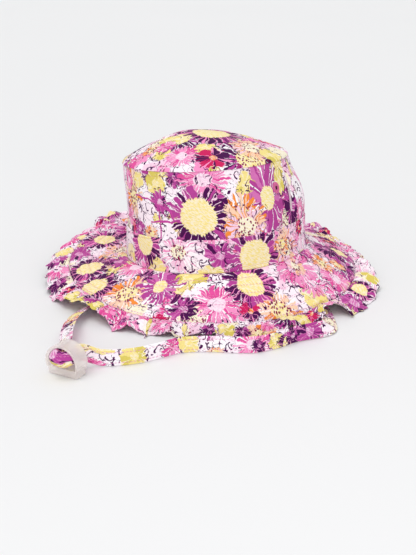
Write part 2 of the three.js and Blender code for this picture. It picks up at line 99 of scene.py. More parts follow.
def around(column, angle):  # a column of rimRows at any angle in radians
    at = (np.degrees(angle) + 180) % 360 - 180
    angles = np.concatenate([[rimRows[-1, 0] - 360], rimRows[:, 0], [rimRows[0, 0] + 360]])
    values = np.concatenate([[rimRows[-1, column]], rimRows[:, column], [rimRows[0, column]]])
    after = np.clip(np.searchsorted(angles, at, side="right"), 1, len(angles) - 1)
    into = (at - angles[after - 1]) / (angles[after] - angles[after - 1])
    return mix(values[after - 1], values[after], ease(into))


def softNoise(seed, x, y):  # smooth noise of about -1..1 with a wavelength of about 1
    draw = np.random.RandomState(seed)
    waves = 9
    total = np.zeros(np.broadcast(x, y).shape)
    for _ in range(waves):
        turn, speed, phase = draw.uniform(0, math.tau), draw.uniform(0.7, 1.4), draw.uniform(0, math.tau)
        total += np.sin(math.tau * speed * (x * math.cos(turn) + y * math.sin(turn)) + phase)
    return total / waves * 1.6


def ringNoise(seed, angle, acrossIt, count, waves=9):  # the same round a ring, count waves to a turn
    draw = np.random.RandomState(seed)
    total = np.zeros(np.broadcast(angle, acrossIt).shape)
    for _ in range(waves):
        speed = max(1, round(count * draw.uniform(0.6, 1.5)))
        slant, phase = draw.uniform(-1, 1), draw.uniform(0, math.tau)
        total += np.sin(speed * angle + math.tau * slant * acrossIt + phase)
    return total / waves * 1.6


def stack(x, y, z):
    return np.stack(np.broadcast_arrays(x, y, z), axis=-1)


def tilt(x, y, rise):
    c = crown
    roll, pitch = mix(c["footRoll"], c["tipRoll"], rise), mix(c["footPitch"], c["tipPitch"], rise)
    return (x - c["footAside"]) * roll - y * pitch


def swelling(angle, rise):
    out = np.zeros(np.broadcast(angle, rise).shape)
    for at, span, height, tall, depth in dents:
        across = turnedFrom(angle, math.radians(at)) / math.radians(span)
        up = (rise - height) / tall
        out = out + depth * crown["footWidth"] * np.exp(-across * across - up * up)
    return out * np.sin(np.pi * rise)


def wallPoint(angle, rise, out):
    c = crown
    more = swelling(angle, rise) + out
    halfWidth = mix(c["footWidth"], c["tipWidth"], rise) / 2 + more
    halfDepth = mix(c["footDepth"], c["tipDepth"], rise) / 2 + more
    x = c["footAside"] + c["tipAside"] * rise + halfWidth * np.sin(angle)
    y = c["tipBack"] * rise - halfDepth * np.cos(angle)
    return stack(x, y, c["footHeight"] + c["wallHeight"] * rise + tilt(x, y, rise))


def tipPoint(angle, share, up):
    c = crown
    edge = wallPoint(angle, np.ones_like(angle), c["panelWall"] / 2 + c["tipOverhang"])
    x = mix(edge[..., 0], c["footAside"] + c["tipAside"] + c["apexAside"], share)
    y = mix(edge[..., 1], c["tipBack"], share)
    dome = c["tipRise"] * (1 - (1 - share) ** c["domeCurve"])
    return stack(x, y, c["footHeight"] + c["wallHeight"] + seamGap + dome + up + tilt(x, y, 1))


def seamPoint(angle, out):
    half = rimShape["brimWidth"] / 2 + out
    return stack(half * np.sin(angle), -half * np.cos(angle), crown["footHeight"] * around(1, angle))


def brimPoint(angle, share, up):
    c, r = crown, rimShape
    zero = np.zeros_like(angle)
    inner = wallPoint(angle, zero, -c["panelWall"] / 2)
    ledge = wallPoint(angle, zero, c["panelWall"] / 2 + c["bandWall"] + 2 * seamGap)
    seam = seamPoint(angle, 0)
    lower = -seamGap - r["brimWall"] / 2
    on = np.clip(share / r["ledgeShare"], 0, 1)[..., None]
    flat = mix(inner, ledge, on) + stack(zero, zero, lower + up)
    out = np.clip((share - r["ledgeShare"]) / (1 - r["ledgeShare"]), 0, 1)
    ripple = r["brimRipple"] * np.sin(5 * angle + 0.6) * np.sin(np.pi * out)
    slope = stack(
        mix(ledge[..., 0], seam[..., 0], out),
        mix(ledge[..., 1], seam[..., 1], out),
        mix(ledge[..., 2] + lower + up, seam[..., 2] + up, out ** 1.1) + ripple,
    )
    return np.where((share <= r["ledgeShare"])[..., None], flat, slope)


def gatherWave(angle):
    phase = rimShape["gatherCount"] * angle + 1.1 * np.sin(3 * angle + 0.4) + 0.8 * np.sin(7 * angle + 2)
    strength = 0.66 + 0.34 * np.sin(5 * angle + 1.3)
    return strength * np.sin(phase), strength * np.cos(phase + 0.5), strength * np.cos(phase)


def unit(vectors):
    return vectors / np.maximum(np.linalg.norm(vectors, axis=-1, keepdims=True), 1e-9)


# Camera: the photograph's viewing angle and field
camera = {
    "elevation": 20.7, "distance": 0.9, "target": (-0.00159, -0.00346, -0.002),
    "focalPixels": 962, "longSidePixels": 555,
}


def placeCamera():
    pitch = math.radians(camera["elevation"])
    back = Vector((0, -math.cos(pitch), math.sin(pitch)))
    data = bpy.data.cameras.new("photoCamera")
    data.sensor_width = 36
    data.lens = camera["focalPixels"] / camera["longSidePixels"] * data.sensor_width
    eye = bpy.data.objects.new("photoCamera", data)
    eye.location = Vector(camera["target"]) + back * camera["distance"]
    eye.rotation_euler = (-back).to_track_quat("-Z", "Y").to_euler()
    scene.collection.objects.link(eye)
    scene.camera = eye


placeCamera()


# Mesh helpers
def makeMesh(name, points, parts, materials, shift=hatShift):
    # parts: corner numbers (n, k), their places on the cloth in mm (n, k, 2) and a material number
    mesh = bpy.data.meshes.new(name)
    loops = np.concatenate([part[0].ravel() for part in parts]).astype(np.int32)
    sizes = np.concatenate([np.full(len(part[0]), part[0].shape[1]) for part in parts])
    kinds = np.concatenate([np.full(len(part[0]), part[2]) for part in parts]).astype(np.int32)
    places = np.concatenate([part[1].reshape(-1, 2) for part in parts])
    mesh.vertices.add(len(points))
    mesh.vertices.foreach_set("co", ((points + shift) * 0.001).astype(np.float32).ravel())
    mesh.loops.add(len(loops))
    mesh.loops.foreach_set("vertex_index", loops)
    mesh.polygons.add(len(sizes))
    mesh.polygons.foreach_set("loop_start", (np.cumsum(sizes) - sizes).astype(np.int32))
    mesh.polygons.foreach_set("material_index", kinds)
    mesh.polygons.foreach_set("use_smooth", np.ones(len(sizes), dtype=bool))
    mesh.update(calc_edges=True)
    layer = mesh.uv_layers.new(name="clothPlace")
    layer.data.foreach_set("uv", places.astype(np.float32).ravel())
    for material in materials:
        mesh.materials.append(material)
    mesh.validate()
    piece = bpy.data.objects.new(name, mesh)
    scene.collection.objects.link(piece)
    return piece


def gridCorners(rows, steps, first, flip):  # corner numbers of a grid that closes round the hat
    row, step = np.meshgrid(np.arange(rows - 1), np.arange(steps), indexing="ij")
    row, step = row.ravel(), step.ravel()
    after = (step + 1) % steps
    corners = np.stack(
        [first + row * steps + step, first + row * steps + after,
         first + (row + 1) * steps + after, first + (row + 1) * steps + step], axis=1)
    spots = np.stack([np.stack([row, step], 1), np.stack([row, step + 1], 1),
                      np.stack([row + 1, step + 1], 1), np.stack([row + 1, step], 1)], axis=1)
    if flip:
        corners, spots = corners[:, ::-1], spots[:, ::-1]
    return corners, spots


def clothRing(name, top, under, places, materials, flip=False, closedTop=False):
    # top and under are the two faces of the cloth as (rows, steps, 3), places has one more step
    rows, steps = top.shape[:2]
    count = rows * steps
    points = np.concatenate([top.reshape(-1, 3), under.reshape(-1, 3)])
    parts = []
    for first, turned, kind in ((0, flip, 0), (count, not flip, 1)):
        corners, spots = gridCorners(rows, steps, first, turned)
        parts.append((corners, places[spots[..., 0], spots[..., 1]], kind))
    ring = np.arange(steps)
    after = (ring + 1) % steps
    rims = [(0, not flip)] if closedTop else [(0, not flip), (rows - 1, flip)]
    for row, turned in rims:
        a = row * steps
        corners = np.stack([a + ring, a + after, count + a + after, count + a + ring], axis=1)
        spots = np.stack([ring, ring + 1, ring + 1, ring], axis=1)
        if turned:
            corners, spots = corners[:, ::-1], spots[:, ::-1]
        parts.append((corners, places[row, spots], 0))
    if closedTop:
        middles = np.stack([top[-1].mean(axis=0), under[-1].mean(axis=0)])
        points = np.concatenate([points, middles])
        spot = places[-1].mean(axis=0)
        for layer, kind in ((0, 0), (1, 1)):
            a = layer * count + (rows - 1) * steps
            corners = np.stack([a + ring, a + after, np.full(steps, 2 * count + layer)], axis=1)
            where = np.stack(
                [places[-1, ring], places[-1, ring + 1], np.broadcast_to(spot, (steps, 2))], axis=1)
            if layer == 1:
                corners, where = corners[:, ::-1], where[:, ::-1]
            parts.append((corners, where, kind))
    return makeMesh(name, points, parts, materials)


def normalsOf(grid, up):  # surface directions of a grid that closes round the hat
    along = np.roll(grid, -1, axis=1) - np.roll(grid, 1, axis=1)
    across = np.gradient(grid, axis=0)
    normal = unit(np.cross(along, across))
    return normal if up else -normal


# Node helpers
def paint(code):  # a colour as it is seen, "rrggbb", as the shader's own numbers
    values = [int(code[i:i + 2], 16) / 255 for i in (0, 2, 4)]
    return (*[v / 12.92 if v <= 0.04045 else ((v + 0.055) / 1.055) ** 2.4 for v in values], 1)


class NodePad:
    def __init__(self, tree):
        self.tree = tree

    def add(self, kind, **settings):
        node = self.tree.nodes.new(kind)
        for key, value in settings.items():
            setattr(node, key, value)
        return node

    def feed(self, socket, value):
        if isinstance(value, bpy.types.NodeSocket):
            self.tree.links.new(value, socket)
        elif value is not None:
            socket.default_value = value

    def math(self, operation, a, b=None, c=None):
        node = self.add("ShaderNodeMath", operation=operation)
        for socket, value in zip(node.inputs, (a, b, c)):
            self.feed(socket, value)
        return node.outputs[0]

    def vector(self, operation, a, b=None, scale=None):
        node = self.add("ShaderNodeVectorMath", operation=operation)
        self.feed(node.inputs[0], a)
        self.feed(node.inputs[1], b)
        if scale is not None:
            self.feed(node.inputs["Scale"], scale)
        return node.outputs["Value"] if operation in ("LENGTH", "DOT_PRODUCT") else node.outputs[0]

    def step(self, value, low, high):
        node = self.add("ShaderNodeMapRange", interpolation_type="SMOOTHSTEP")
        self.feed(node.inputs["Value"], value)
        self.feed(node.inputs["From Min"], low)
        self.feed(node.inputs["From Max"], high)
        return node.outputs["Result"]

    def blend(self, share, a, b):
        node = self.add("ShaderNodeMix", data_type="RGBA")
        self.feed(node.inputs[0], share)
        self.feed(node.inputs[6], a)
        self.feed(node.inputs[7], b)
        return node.outputs[2]

    def noise(self, vector, scale, detail, size="3D"):
        node = self.add("ShaderNodeTexNoise", noise_dimensions=size)
        self.feed(node.inputs["Vector"], vector)
        node.inputs["Scale"].default_value = scale
        node.inputs["Detail"].default_value = detail
        return node

    def split(self, colour):
        node = self.add("ShaderNodeSeparateColor")
        self.feed(node.inputs[0], colour)
        return node.outputs[0], node.outputs[1], node.outputs[2]

    def cells(self, vector, spacing, shift, random=1.0):
        moved = self.vector("ADD", vector, (shift, shift * 0.7, 0))
        node = self.add("ShaderNodeTexVoronoi", voronoi_dimensions="2D")
        self.feed(node.inputs["Vector"], moved)
        node.inputs["Scale"].default_value = 1 / spacing
        node.inputs["Randomness"].default_value = random
        middle = self.vector("SUBTRACT", node.outputs["Position"], (shift, shift * 0.7, 0))
        return node.outputs["Distance"], middle, node.outputs["Color"]


def newGroup(name, inputs, outputs):
    tree = bpy.data.node_groups.new(name, "ShaderNodeTree")
    for label, kind in inputs:
        tree.interface.new_socket(name=label, in_out="INPUT", socket_type="NodeSocket" + kind)
    for label, kind in outputs:
        tree.interface.new_socket(name=label, in_out="OUTPUT", socket_type="NodeSocket" + kind)
    pad = NodePad(tree)
    return tree, pad, pad.add("NodeGroupInput").outputs, pad.add("NodeGroupOutput").inputs


# The print: flowers of radiating strokes with plain hearts, leaves, and thin curly lines between
# them. Lengths on the cloth are in millimetres.
inks = {
    "ground": "fff1f9", "blush": "f8d2e6", "plum": "4c144f", "orchid": "b64596", "mauve": "d574b5",
    "pink": "e5549e", "rose": "f595c6", "crimson": "cf2460", "yellow": "f7e491", "cream": "faf1cb",
    "olive": "dfce66", "orange": "f4913f", "peach": "fbd3b4", "white": "fffafd",
    "wine": "8a1d4f", "stem": "c6489f",
}
# petals, notch, outer, inner, stroke, share of outer petals, heart share, heart colour, specks
bloomKinds = {
    "daisy": (23, 0.26, "orchid", "plum", "blush", 0.5, 0.54, "yellow", 0.0),
    "darkDaisy": (21, 0.28, "plum", "orchid", "rose", 0.6, 0.5, "yellow", 0.0),
    "plumDaisy": (21, 0.3, "plum", "orchid", "rose", 0.95, 0.5, "yellow", 0.0),
    "orchidDaisy": (15, 0.32, "orchid", "mauve", "white", 0.7, 0.3, "yellow", 0.0),
    "gerbera": (19, 0.34, "orange", "peach", "white", 0.5, 0.4, "yellow", 1.0),
    "paleGerbera": (19, 0.34, "blush", "peach", "orange", 0.6, 0.4, "cream", 1.0),
    "whiteDaisy": (17, 0.3, "white", "blush", "rose", 0.6, 0.36, "cream", 1.0),
    "carnation": (23, 0.42, "pink", "rose", "white", 0.5, 0.34, "blush", 0.0),
    "rose": (9, 0.3, "rose", "pink", "white", 0.5, 0.3, "pink", 0.5),
    "pansy": (7, 0.3, "crimson", "plum", "rose", 0.55, 0.22, "orange", 0.5),
    "orchidBlot": (10, 0.34, "orchid", "plum", "mauve", 0.85, 0.3, "mauve", 0.0),
    "plumPetals": (12, 0.32, "plum", "orchid", "mauve", 0.75, 0.25, "orchid", 0.0),
    "leaf": (5, 0.2, "yellow", "olive", "cream", 0.7, 0.3, "yellow", 0.0),
    "paleBlot": (5, 0.25, "ground", "white", "ground", 0.6, 0.0, "white", 0.0),
}


def inTurn(pad, place, under):  # each flower waits for the one below it, which saves the shader memory
    nearlyNothing = 1e-7
    node = pad.add("ShaderNodeVectorMath", operation="MULTIPLY_ADD")
    pad.feed(node.inputs[0], under)
    node.inputs[1].default_value = (nearlyNothing, nearlyNothing, 0)
    pad.feed(node.inputs[2], place)
    return node.outputs[0]


def buildBloomGroup():
    inputs = [("Under", "Color"), ("Place", "Vector"), ("Centre", "Vector"), ("Size", "Float"),
              ("Stretch", "Float"), ("Turn", "Float"), ("Petals", "Float"), ("Notch", "Float"),
              ("Outer", "Color"), ("Inner", "Color"), ("Stroke", "Color"), ("Mostly", "Float"),
              ("Heart", "Float"), ("HeartColour", "Color"), ("Specks", "Float"), ("Dust", "Float"),
              ("Grain", "Float")]
    tree, pad, get, give = newGroup("printedBloom", inputs, [("Colour", "Color")])
    away = pad.vector("SUBTRACT", inTurn(pad, get["Place"], get["Under"]), get["Centre"])
    spin = pad.add("ShaderNodeVectorRotate", rotation_type="Z_AXIS")
    pad.feed(spin.inputs["Vector"], away)
    pad.feed(spin.inputs["Angle"], get["Turn"])
    apart = pad.add("ShaderNodeSeparateXYZ")
    pad.feed(apart.inputs[0], spin.outputs[0])
    across = pad.math("DIVIDE", apart.outputs[0], get["Size"])
    tall = pad.math("DIVIDE", pad.math("DIVIDE", apart.outputs[1], get["Size"]), get["Stretch"])
    joined = pad.add("ShaderNodeCombineXYZ")
    pad.feed(joined.inputs[0], across)
    pad.feed(joined.inputs[1], tall)
    reach = pad.vector("LENGTH", joined.outputs[0])
    heading = pad.vector("NORMALIZE", joined.outputs[0])
    seed = pad.vector("SCALE", get["Centre"], scale=0.137)
    spot = pad.vector("ADD", pad.vector("SCALE", joined.outputs[0], scale=2.6), seed)
    bendA, bendB, bendC = pad.split(pad.noise(spot, 1.0, 1.0).outputs["Color"])
    # each petal takes its own length and colour from its number round the flower
    share = pad.math("MULTIPLY", pad.math("ARCTAN2", tall, across), 1 / math.tau)
    counted = pad.math("MULTIPLY_ADD", share, get["Petals"], pad.math("MULTIPLY", bendA, 1.7))
    number = pad.math("FLOORED_MODULO", pad.math("FLOOR", counted), get["Petals"])
    fromMiddle = pad.math("ABSOLUTE", pad.math("SUBTRACT", pad.math("FRACT", counted), 0.5))
    side = pad.math("MULTIPLY", fromMiddle, 2.0)
    own = pad.add("ShaderNodeTexWhiteNoise", noise_dimensions="4D")
    pad.feed(own.inputs["Vector"], get["Centre"])
    pad.feed(own.inputs["W"], number)
    length, tint, parting = pad.split(own.outputs["Color"])
    # the petals' outline, rounded at each tip and notched between them
    notch = pad.math("MULTIPLY", pad.math("POWER", side, 3.0), get["Notch"])
    edge = pad.math("MULTIPLY_ADD", pad.math("SUBTRACT", bendB, 0.5), 0.4,
                    pad.math("MULTIPLY_ADD", length, 0.22, 0.8))
    edge = pad.math("SUBTRACT", edge, notch)
    inside = pad.step(pad.math("SUBTRACT", edge, reach), -0.015, 0.015)
    # two colours of petals, with strokes between some of them and streaks along them
    broad = pad.noise(pad.vector("ADD", heading, seed), 0.9, 0.0).outputs["Fac"]
    rays = pad.math("MULTIPLY", get["Petals"], 0.6)
    ray = pad.vector("ADD", pad.vector("SCALE", heading, scale=rays), seed)
    rayA, rayB, _ = pad.split(pad.noise(ray, 1.0, 0.0).outputs["Color"])
    most = pad.math("MULTIPLY_ADD", pad.math("SUBTRACT", broad, 0.5), 2.4, get["Mostly"])
    chosen = pad.math("MULTIPLY_ADD", pad.math("SUBTRACT", rayA, 0.5), 0.9,
                      pad.math("SUBTRACT", most, tint))
    petals = pad.blend(pad.step(chosen, -0.04, 0.04), get["Inner"], get["Outer"])
    line = pad.math("MULTIPLY", pad.math("MULTIPLY", reach, parting), 0.42)
    between = pad.math("MULTIPLY", pad.math("GREATER_THAN", pad.math("ADD", side, line), 1.0),
                       pad.math("GREATER_THAN", parting, 0.5))
    petals = pad.blend(between, petals, get["Stroke"])
    streak = pad.step(pad.math("MULTIPLY_ADD", reach, 0.1, rayB), 0.73, 0.76)
    petals = pad.blend(streak, petals, get["Stroke"])
    # a thin broken line of ink round the flower
    beyond = pad.math("ABSOLUTE", pad.math("SUBTRACT", pad.math("SUBTRACT", reach, edge), 0.09))
    thin = pad.math("DIVIDE", 0.42, get["Size"])
    outline = pad.math("MULTIPLY", pad.math("LESS_THAN", beyond, thin), pad.step(bendC, 0.47, 0.49))
    under = pad.blend(outline, get["Under"], paint(inks["plum"]))
    colour = pad.blend(inside, under, petals)
    # the heart in dabs of two tones, and dark specks round its edge
    heartEdge = pad.math("MULTIPLY_ADD", bendB, 0.3, pad.math("MULTIPLY_ADD", rayA, 0.25, 0.72))
    inHeart = pad.math("SUBTRACT", pad.math("MULTIPLY", get["Heart"], heartEdge), reach)
    heart = pad.step(inHeart, -0.01, 0.01)
    bright = pad.blend(0.5, get["HeartColour"], paint(inks["white"]))
    dabs = pad.blend(pad.step(get["Grain"], 0.42, 0.6), get["HeartColour"], bright)
    colour = pad.blend(heart, colour, dabs)
    near = pad.step(pad.math("SUBTRACT", pad.math("MULTIPLY", get["Heart"], 1.4), reach), 0.0, 0.1)
    far = pad.step(reach, 0.02, 0.12)
    specks = pad.math("MULTIPLY", pad.math("MULTIPLY", near, far),
                      pad.math("MULTIPLY", get["Dust"], get["Specks"]))
    pad.feed(give["Colour"], pad.blend(specks, colour, paint(inks["wine"])))
    return tree


bloomGroup = buildBloomGroup()


def addBloom(pad, under, shared, kind, centre, size, stretch, turn):
    petals, notch, outer, inner, stroke, mostly, heart, heartColour, specks = bloomKinds[kind]
    node = pad.add("ShaderNodeGroup", node_tree=bloomGroup)
    values = {
        "Under": under, "Place": shared["place"], "Centre": centre, "Size": size, "Stretch": stretch,
        "Turn": math.radians(turn), "Petals": petals, "Notch": notch, "Outer": paint(inks[outer]),
        "Inner": paint(inks[inner]), "Stroke": paint(inks[stroke]), "Mostly": mostly, "Heart": heart,
        "HeartColour": paint(inks[heartColour]), "Specks": specks, "Dust": shared["dust"],
        "Grain": shared["grain"],
    }
    for label, value in values.items():
        pad.feed(node.inputs[label], value)
    return node.outputs[0]


def choose(pad, value, colours):  # one of several colours by a random value
    ramp = pad.add("ShaderNodeValToRGB")
    ramp.color_ramp.interpolation = "CONSTANT"
    stops = ramp.color_ramp.elements
    while len(stops) < len(colours):
        stops.new(0.5)
    for number, colour in enumerate(colours):
        stops[number].position = 0.25 + 0.5 * number / len(colours) if number else 0
        stops[number].color = paint(inks[colour])
    pad.feed(ramp.inputs[0], value)
    return ramp.outputs[0]


def buildFieldGroup():  # the all-over flowers that fill the cloth between the placed ones
    inputs = [("Place", "Vector"), ("Dust", "Float"), ("Grain", "Float")]
    tree, pad, get, give = newGroup("flowerField", inputs, [("Colour", "Color")])
    place = get["Place"]
    broad, _, _ = pad.split(pad.noise(place, 0.05, 1.0, "2D").outputs["Color"])
    colour = pad.blend(pad.step(broad, 0.5, 0.58), paint(inks["ground"]), paint(inks["blush"]))
    layers = [
        # spacing, shift, size, share left empty, petals, notch, heart, then the colours of the
        # outer and inner petals, the strokes and the hearts
        (31, 13.0, 10.5, 0.4, 5, 0.22, 0.3, ("yellow", "ground", "yellow", "olive", "rose"),
         ("olive", "ground", "cream", "yellow", "blush"), ("cream", "ground", "cream", "yellow", "rose"),
         ("yellow", "ground", "yellow", "olive", "rose")),
        (30, 71.0, 13, 0.35, 13, 0.35, 0.3, ("pink", "white", "orchid", "crimson", "rose"),
         ("rose", "blush", "mauve", "pink", "blush"), ("white", "rose", "white", "rose", "white"),
         ("blush", "cream", "yellow", "orange", "pink")),
        (50, 7.0, 24, 0.22, 20, 0.32, 0.45, ("orchid", "peach", "plum", "pink", "white"),
         ("plum", "orange", "orchid", "rose", "blush"), ("white", "white", "rose", "white", "rose"),
         ("yellow", "yellow", "yellow", "blush", "cream")),
    ]
    for spacing, shift, size, empty, petals, notch, heart, outer, inner, stroke, hearts in layers:
        _, middle, dice = pad.cells(place, spacing, shift, 0.85)
        red, green, blue = pad.split(dice)
        node = pad.add("ShaderNodeGroup", node_tree=bloomGroup)
        values = {
            "Under": colour, "Place": place, "Centre": middle,
            "Size": pad.math("MULTIPLY", pad.math("MULTIPLY_ADD", green, size * 0.4, size * 0.8),
                             pad.math("MAXIMUM", pad.math("GREATER_THAN", blue, empty), 0.001)),
            "Stretch": pad.math("MULTIPLY_ADD", blue, 0.4, 0.8),
            "Turn": pad.math("MULTIPLY", blue, 6.3), "Petals": petals, "Notch": notch,
            "Outer": choose(pad, red, outer), "Inner": choose(pad, red, inner),
            "Stroke": choose(pad, red, stroke), "Mostly": 0.6, "Heart": heart,
            "HeartColour": choose(pad, red, hearts), "Specks": pad.step(green, 0.5, 0.52),
            "Dust": get["Dust"], "Grain": get["Grain"],
        }
        for label, value in values.items():
            pad.feed(node.inputs[label], value)
        colour = node.outputs[0]
    pad.feed(give["Colour"], colour)
    return tree


fieldGroup = buildFieldGroup()

# The cotton's finish; its threads and slubs are in millimetres or waves to the millimetre
finish = {
    "roughness": 0.9, "liningRoughness": 0.92, "shine": 0.1, "sheen": 0.07, "sheenRoughness": 0.4,
    "threadPitch": 0.5, "weave": 0.12, "slubScale": 1.6, "slubLength": 0.22, "bump": 0.25,
}


def clothSurface(pad, colour, place, roughness):
    # thin plain weave: two crossed sets of threads with slubs
    shader = pad.tree.nodes["Principled BSDF"]
    stretched = pad.vector("MULTIPLY", place, (1.0, finish["slubLength"], 1.0))
    crossed = pad.vector("MULTIPLY", place, (finish["slubLength"], 1.0, 1.0))
    slubs = pad.math("ADD", pad.noise(stretched, finish["slubScale"], 2.0, "2D").outputs["Fac"],
                     pad.noise(crossed, finish["slubScale"], 2.0, "2D").outputs["Fac"])
    across, along, _ = pad.split(place)
    warp = pad.math("SINE", pad.math("MULTIPLY", across, math.tau / finish["threadPitch"]))
    weft = pad.math("SINE", pad.math("MULTIPLY", along, math.tau / finish["threadPitch"]))
    height = pad.math("MULTIPLY_ADD", pad.math("MULTIPLY", warp, weft), finish["weave"], slubs)
    # the colour is multiplied darker where the slubs are low, the same slubs that raise the bump: painted
    # shade in the weave's hollows
    shade = pad.step(slubs, 0.6, 1.4)
    slubHollowShade = pad.add("ShaderNodeMix", data_type="RGBA", blend_type="MULTIPLY")
    slubHollowShade.inputs[0].default_value = 1.0
    pad.feed(slubHollowShade.inputs[6], colour)
    pad.feed(slubHollowShade.inputs[7], pad.blend(shade, (0.9, 0.89, 0.91, 1), (1, 1, 1, 1)))
    pad.feed(shader.inputs["Base Color"], slubHollowShade.outputs[2])
    bump = pad.add("ShaderNodeBump")
    bump.inputs["Strength"].default_value = finish["bump"]
    bump.inputs["Distance"].default_value = 0.0002
    pad.feed(bump.inputs["Height"], height)
    pad.feed(shader.inputs["Normal"], bump.outputs[0])
    shader.inputs["Roughness"].default_value = roughness
    shader.inputs["Sheen Weight"].default_value = finish["sheen"]
    shader.inputs["Sheen Roughness"].default_value = finish["sheenRoughness"]
    shader.inputs["Specular IOR Level"].default_value = finish["shine"]


def newMaterial(name):
    material = bpy.data.materials.new(name)
    material.use_nodes = True
    return material, NodePad(material.node_tree)


# curly strokes of dark ink on the pale ground: spacing, radius, half thickness, flatness, the
# share of them left out and where the curl opens
curls = [
    (8.6, 2.3, 0.42, 0.62, 0.5, -0.35),
    (7.6, 1.2, 0.38, 2.4, 0.68, 0.1),
    (12.5, 3.8, 0.44, 0.8, 0.45, 0.15),
]
inkLines = {"scale": 0.17, "half": 0.014, "patchScale": 0.09, "patchEdge": (0.53, 0.54)}
paleGround = {"green": 0.5, "blue": 0.74}  # the ink shows only where the print is paler than this


def inkCurls(pad, place, colour):
    marks = 0.0
    for number, (spacing, radius, half, flat, left, far) in enumerate(curls):
        _, middle, dice = pad.cells(place, spacing, 17.0 + 29 * number, 0.9)
        turn, size, shown = pad.split(dice)
        spin = pad.add("ShaderNodeVectorRotate", rotation_type="Z_AXIS")
        pad.feed(spin.inputs["Vector"], pad.vector("SUBTRACT", place, middle))
        pad.feed(spin.inputs["Angle"], pad.math("MULTIPLY", turn, math.tau))
        spot = pad.vector("MULTIPLY", spin.outputs[0], (1, flat, 0))
        reach = pad.vector("LENGTH", spot)
        ownRadius = pad.math("MULTIPLY_ADD", size, 0.6 * radius, 0.6 * radius)
        ring = pad.math("ABSOLUTE", pad.math("SUBTRACT", reach, ownRadius))
        apart = pad.add("ShaderNodeSeparateXYZ")
        pad.feed(apart.inputs[0], spot)
        opening = pad.math("GREATER_THAN", pad.math("DIVIDE", apart.outputs[0], reach), far)
        mark = pad.math("MULTIPLY", pad.math("MULTIPLY", pad.math("LESS_THAN", ring, half), opening),
                        pad.math("GREATER_THAN", shown, left))
        marks = pad.math("MAXIMUM", marks, mark)
    waves = pad.noise(place, inkLines["scale"], 0.0, "2D").outputs["Fac"]
    curl = pad.math("ABSOLUTE", pad.math("SUBTRACT", waves, 0.5))
    _, patch, _ = pad.split(pad.noise(place, inkLines["patchScale"], 0.0, "2D").outputs["Color"])
    lines = pad.math("MULTIPLY", pad.math("LESS_THAN", curl, inkLines["half"]),
                     pad.step(patch, *inkLines["patchEdge"]))
    marks = pad.math("MAXIMUM", marks, lines)
    _, green, blue = pad.split(colour)
    onPale = pad.math("MULTIPLY", pad.math("GREATER_THAN", green, paleGround["green"]),
                      pad.math("GREATER_THAN", blue, paleGround["blue"]))
    return pad.math("MULTIPLY", marks, onPale)


# thin stems on the left of the wall: from and to on the cloth, and the bend between
stems = {
    "half": 0.75,
    "lines": [(-84, 61, -37, 49, 3), (-62, 39, -37, 41, 1), (-52, 56, -51, 22, 1), (-45, 56, -35, 42, 2)],
}


def stemMarks(pad, place):
    marks = 0.0
    for startX, startY, endX, endY, bend in stems["lines"]:
        length = math.hypot(endX - startX, endY - startY)
        ahead = ((endX - startX) / length, (endY - startY) / length, 0)
        away = pad.vector("SUBTRACT", place, (startX, startY, 0))
        along = pad.math("DIVIDE", pad.vector("DOT_PRODUCT", away, ahead), length)
        aside = pad.vector("DOT_PRODUCT", away, (-ahead[1], ahead[0], 0))
        bow = pad.math("MULTIPLY", pad.math("SINE", pad.math("MULTIPLY", along, math.pi)), bend)
        fromLine = pad.math("ABSOLUTE", pad.math("SUBTRACT", aside, bow))
        near = pad.math("LESS_THAN", fromLine, stems["half"])
        within = pad.math("LESS_THAN", pad.math("ABSOLUTE", pad.math("SUBTRACT", along, 0.5)), 0.5)
        marks = pad.math("MAXIMUM", marks, pad.math("MULTIPLY", near, within))
    return marks


# the hand of the print: a slight wobble of every edge, specks in the hearts and their brush grain
printHand = {
    "wobble": 3.2, "wobbleScale": 0.16, "speckSpacing": 2.1, "speckHalf": 0.36, "specksLeftOut": 0.4,
    "grainTurn": 0.5, "grainScale": 1.1, "grainLength": 0.25,
}


def printedCotton(name, blooms, offset=(0, 0), withStems=False):
    hand = printHand
    material, pad = newMaterial(name)
    cloth = pad.add("ShaderNodeUVMap", uv_map="clothPlace").outputs[0]
    drift = pad.noise(cloth, hand["wobbleScale"], 2.0, "2D").outputs["Color"]
    wobble = pad.vector("SCALE", pad.vector("SUBTRACT", drift, (0.5, 0.5, 0.5)), scale=hand["wobble"])
    place = pad.vector("MULTIPLY", pad.vector("ADD", cloth, wobble), (1, 1, 0))
    squashed = pad.vector("MULTIPLY", place, (1.0, 0.7, 1.0))
    dustDistance, _, dustDice = pad.cells(squashed, hand["speckSpacing"], 3.0)
    dust = pad.math("MULTIPLY", pad.math("LESS_THAN", dustDistance, hand["speckHalf"]),
                    pad.math("GREATER_THAN", pad.split(dustDice)[0], hand["specksLeftOut"]))
    hatch = pad.add("ShaderNodeVectorRotate", rotation_type="Z_AXIS")
    pad.feed(hatch.inputs["Vector"], cloth)
    hatch.inputs["Angle"].default_value = hand["grainTurn"]
    drawn = pad.vector("MULTIPLY", hatch.outputs[0], (hand["grainLength"], 1.0, 1.0))
    grain = pad.noise(drawn, hand["grainScale"], 1.0, "2D").outputs["Fac"]
    shared = {"place": place, "dust": dust, "grain": grain}
    field = pad.add("ShaderNodeGroup", node_tree=fieldGroup)
    pad.feed(field.inputs["Place"], pad.vector("ADD", place, (*offset, 0)))
    pad.feed(field.inputs["Dust"], dust)
    pad.feed(field.inputs["Grain"], grain)
    colour = field.outputs[0]
    for kind, u, v, size, stretch, turn in blooms:
        colour = addBloom(pad, colour, shared, kind, (u, v, 0), size, stretch, turn)
    colour = pad.blend(inkCurls(pad, place, colour), colour, paint(inks["plum"]))
    if withStems:
        colour = pad.blend(stemMarks(pad, place), colour, paint(inks["stem"]))
    clothSurface(pad, colour, cloth, finish["roughness"])
    return material


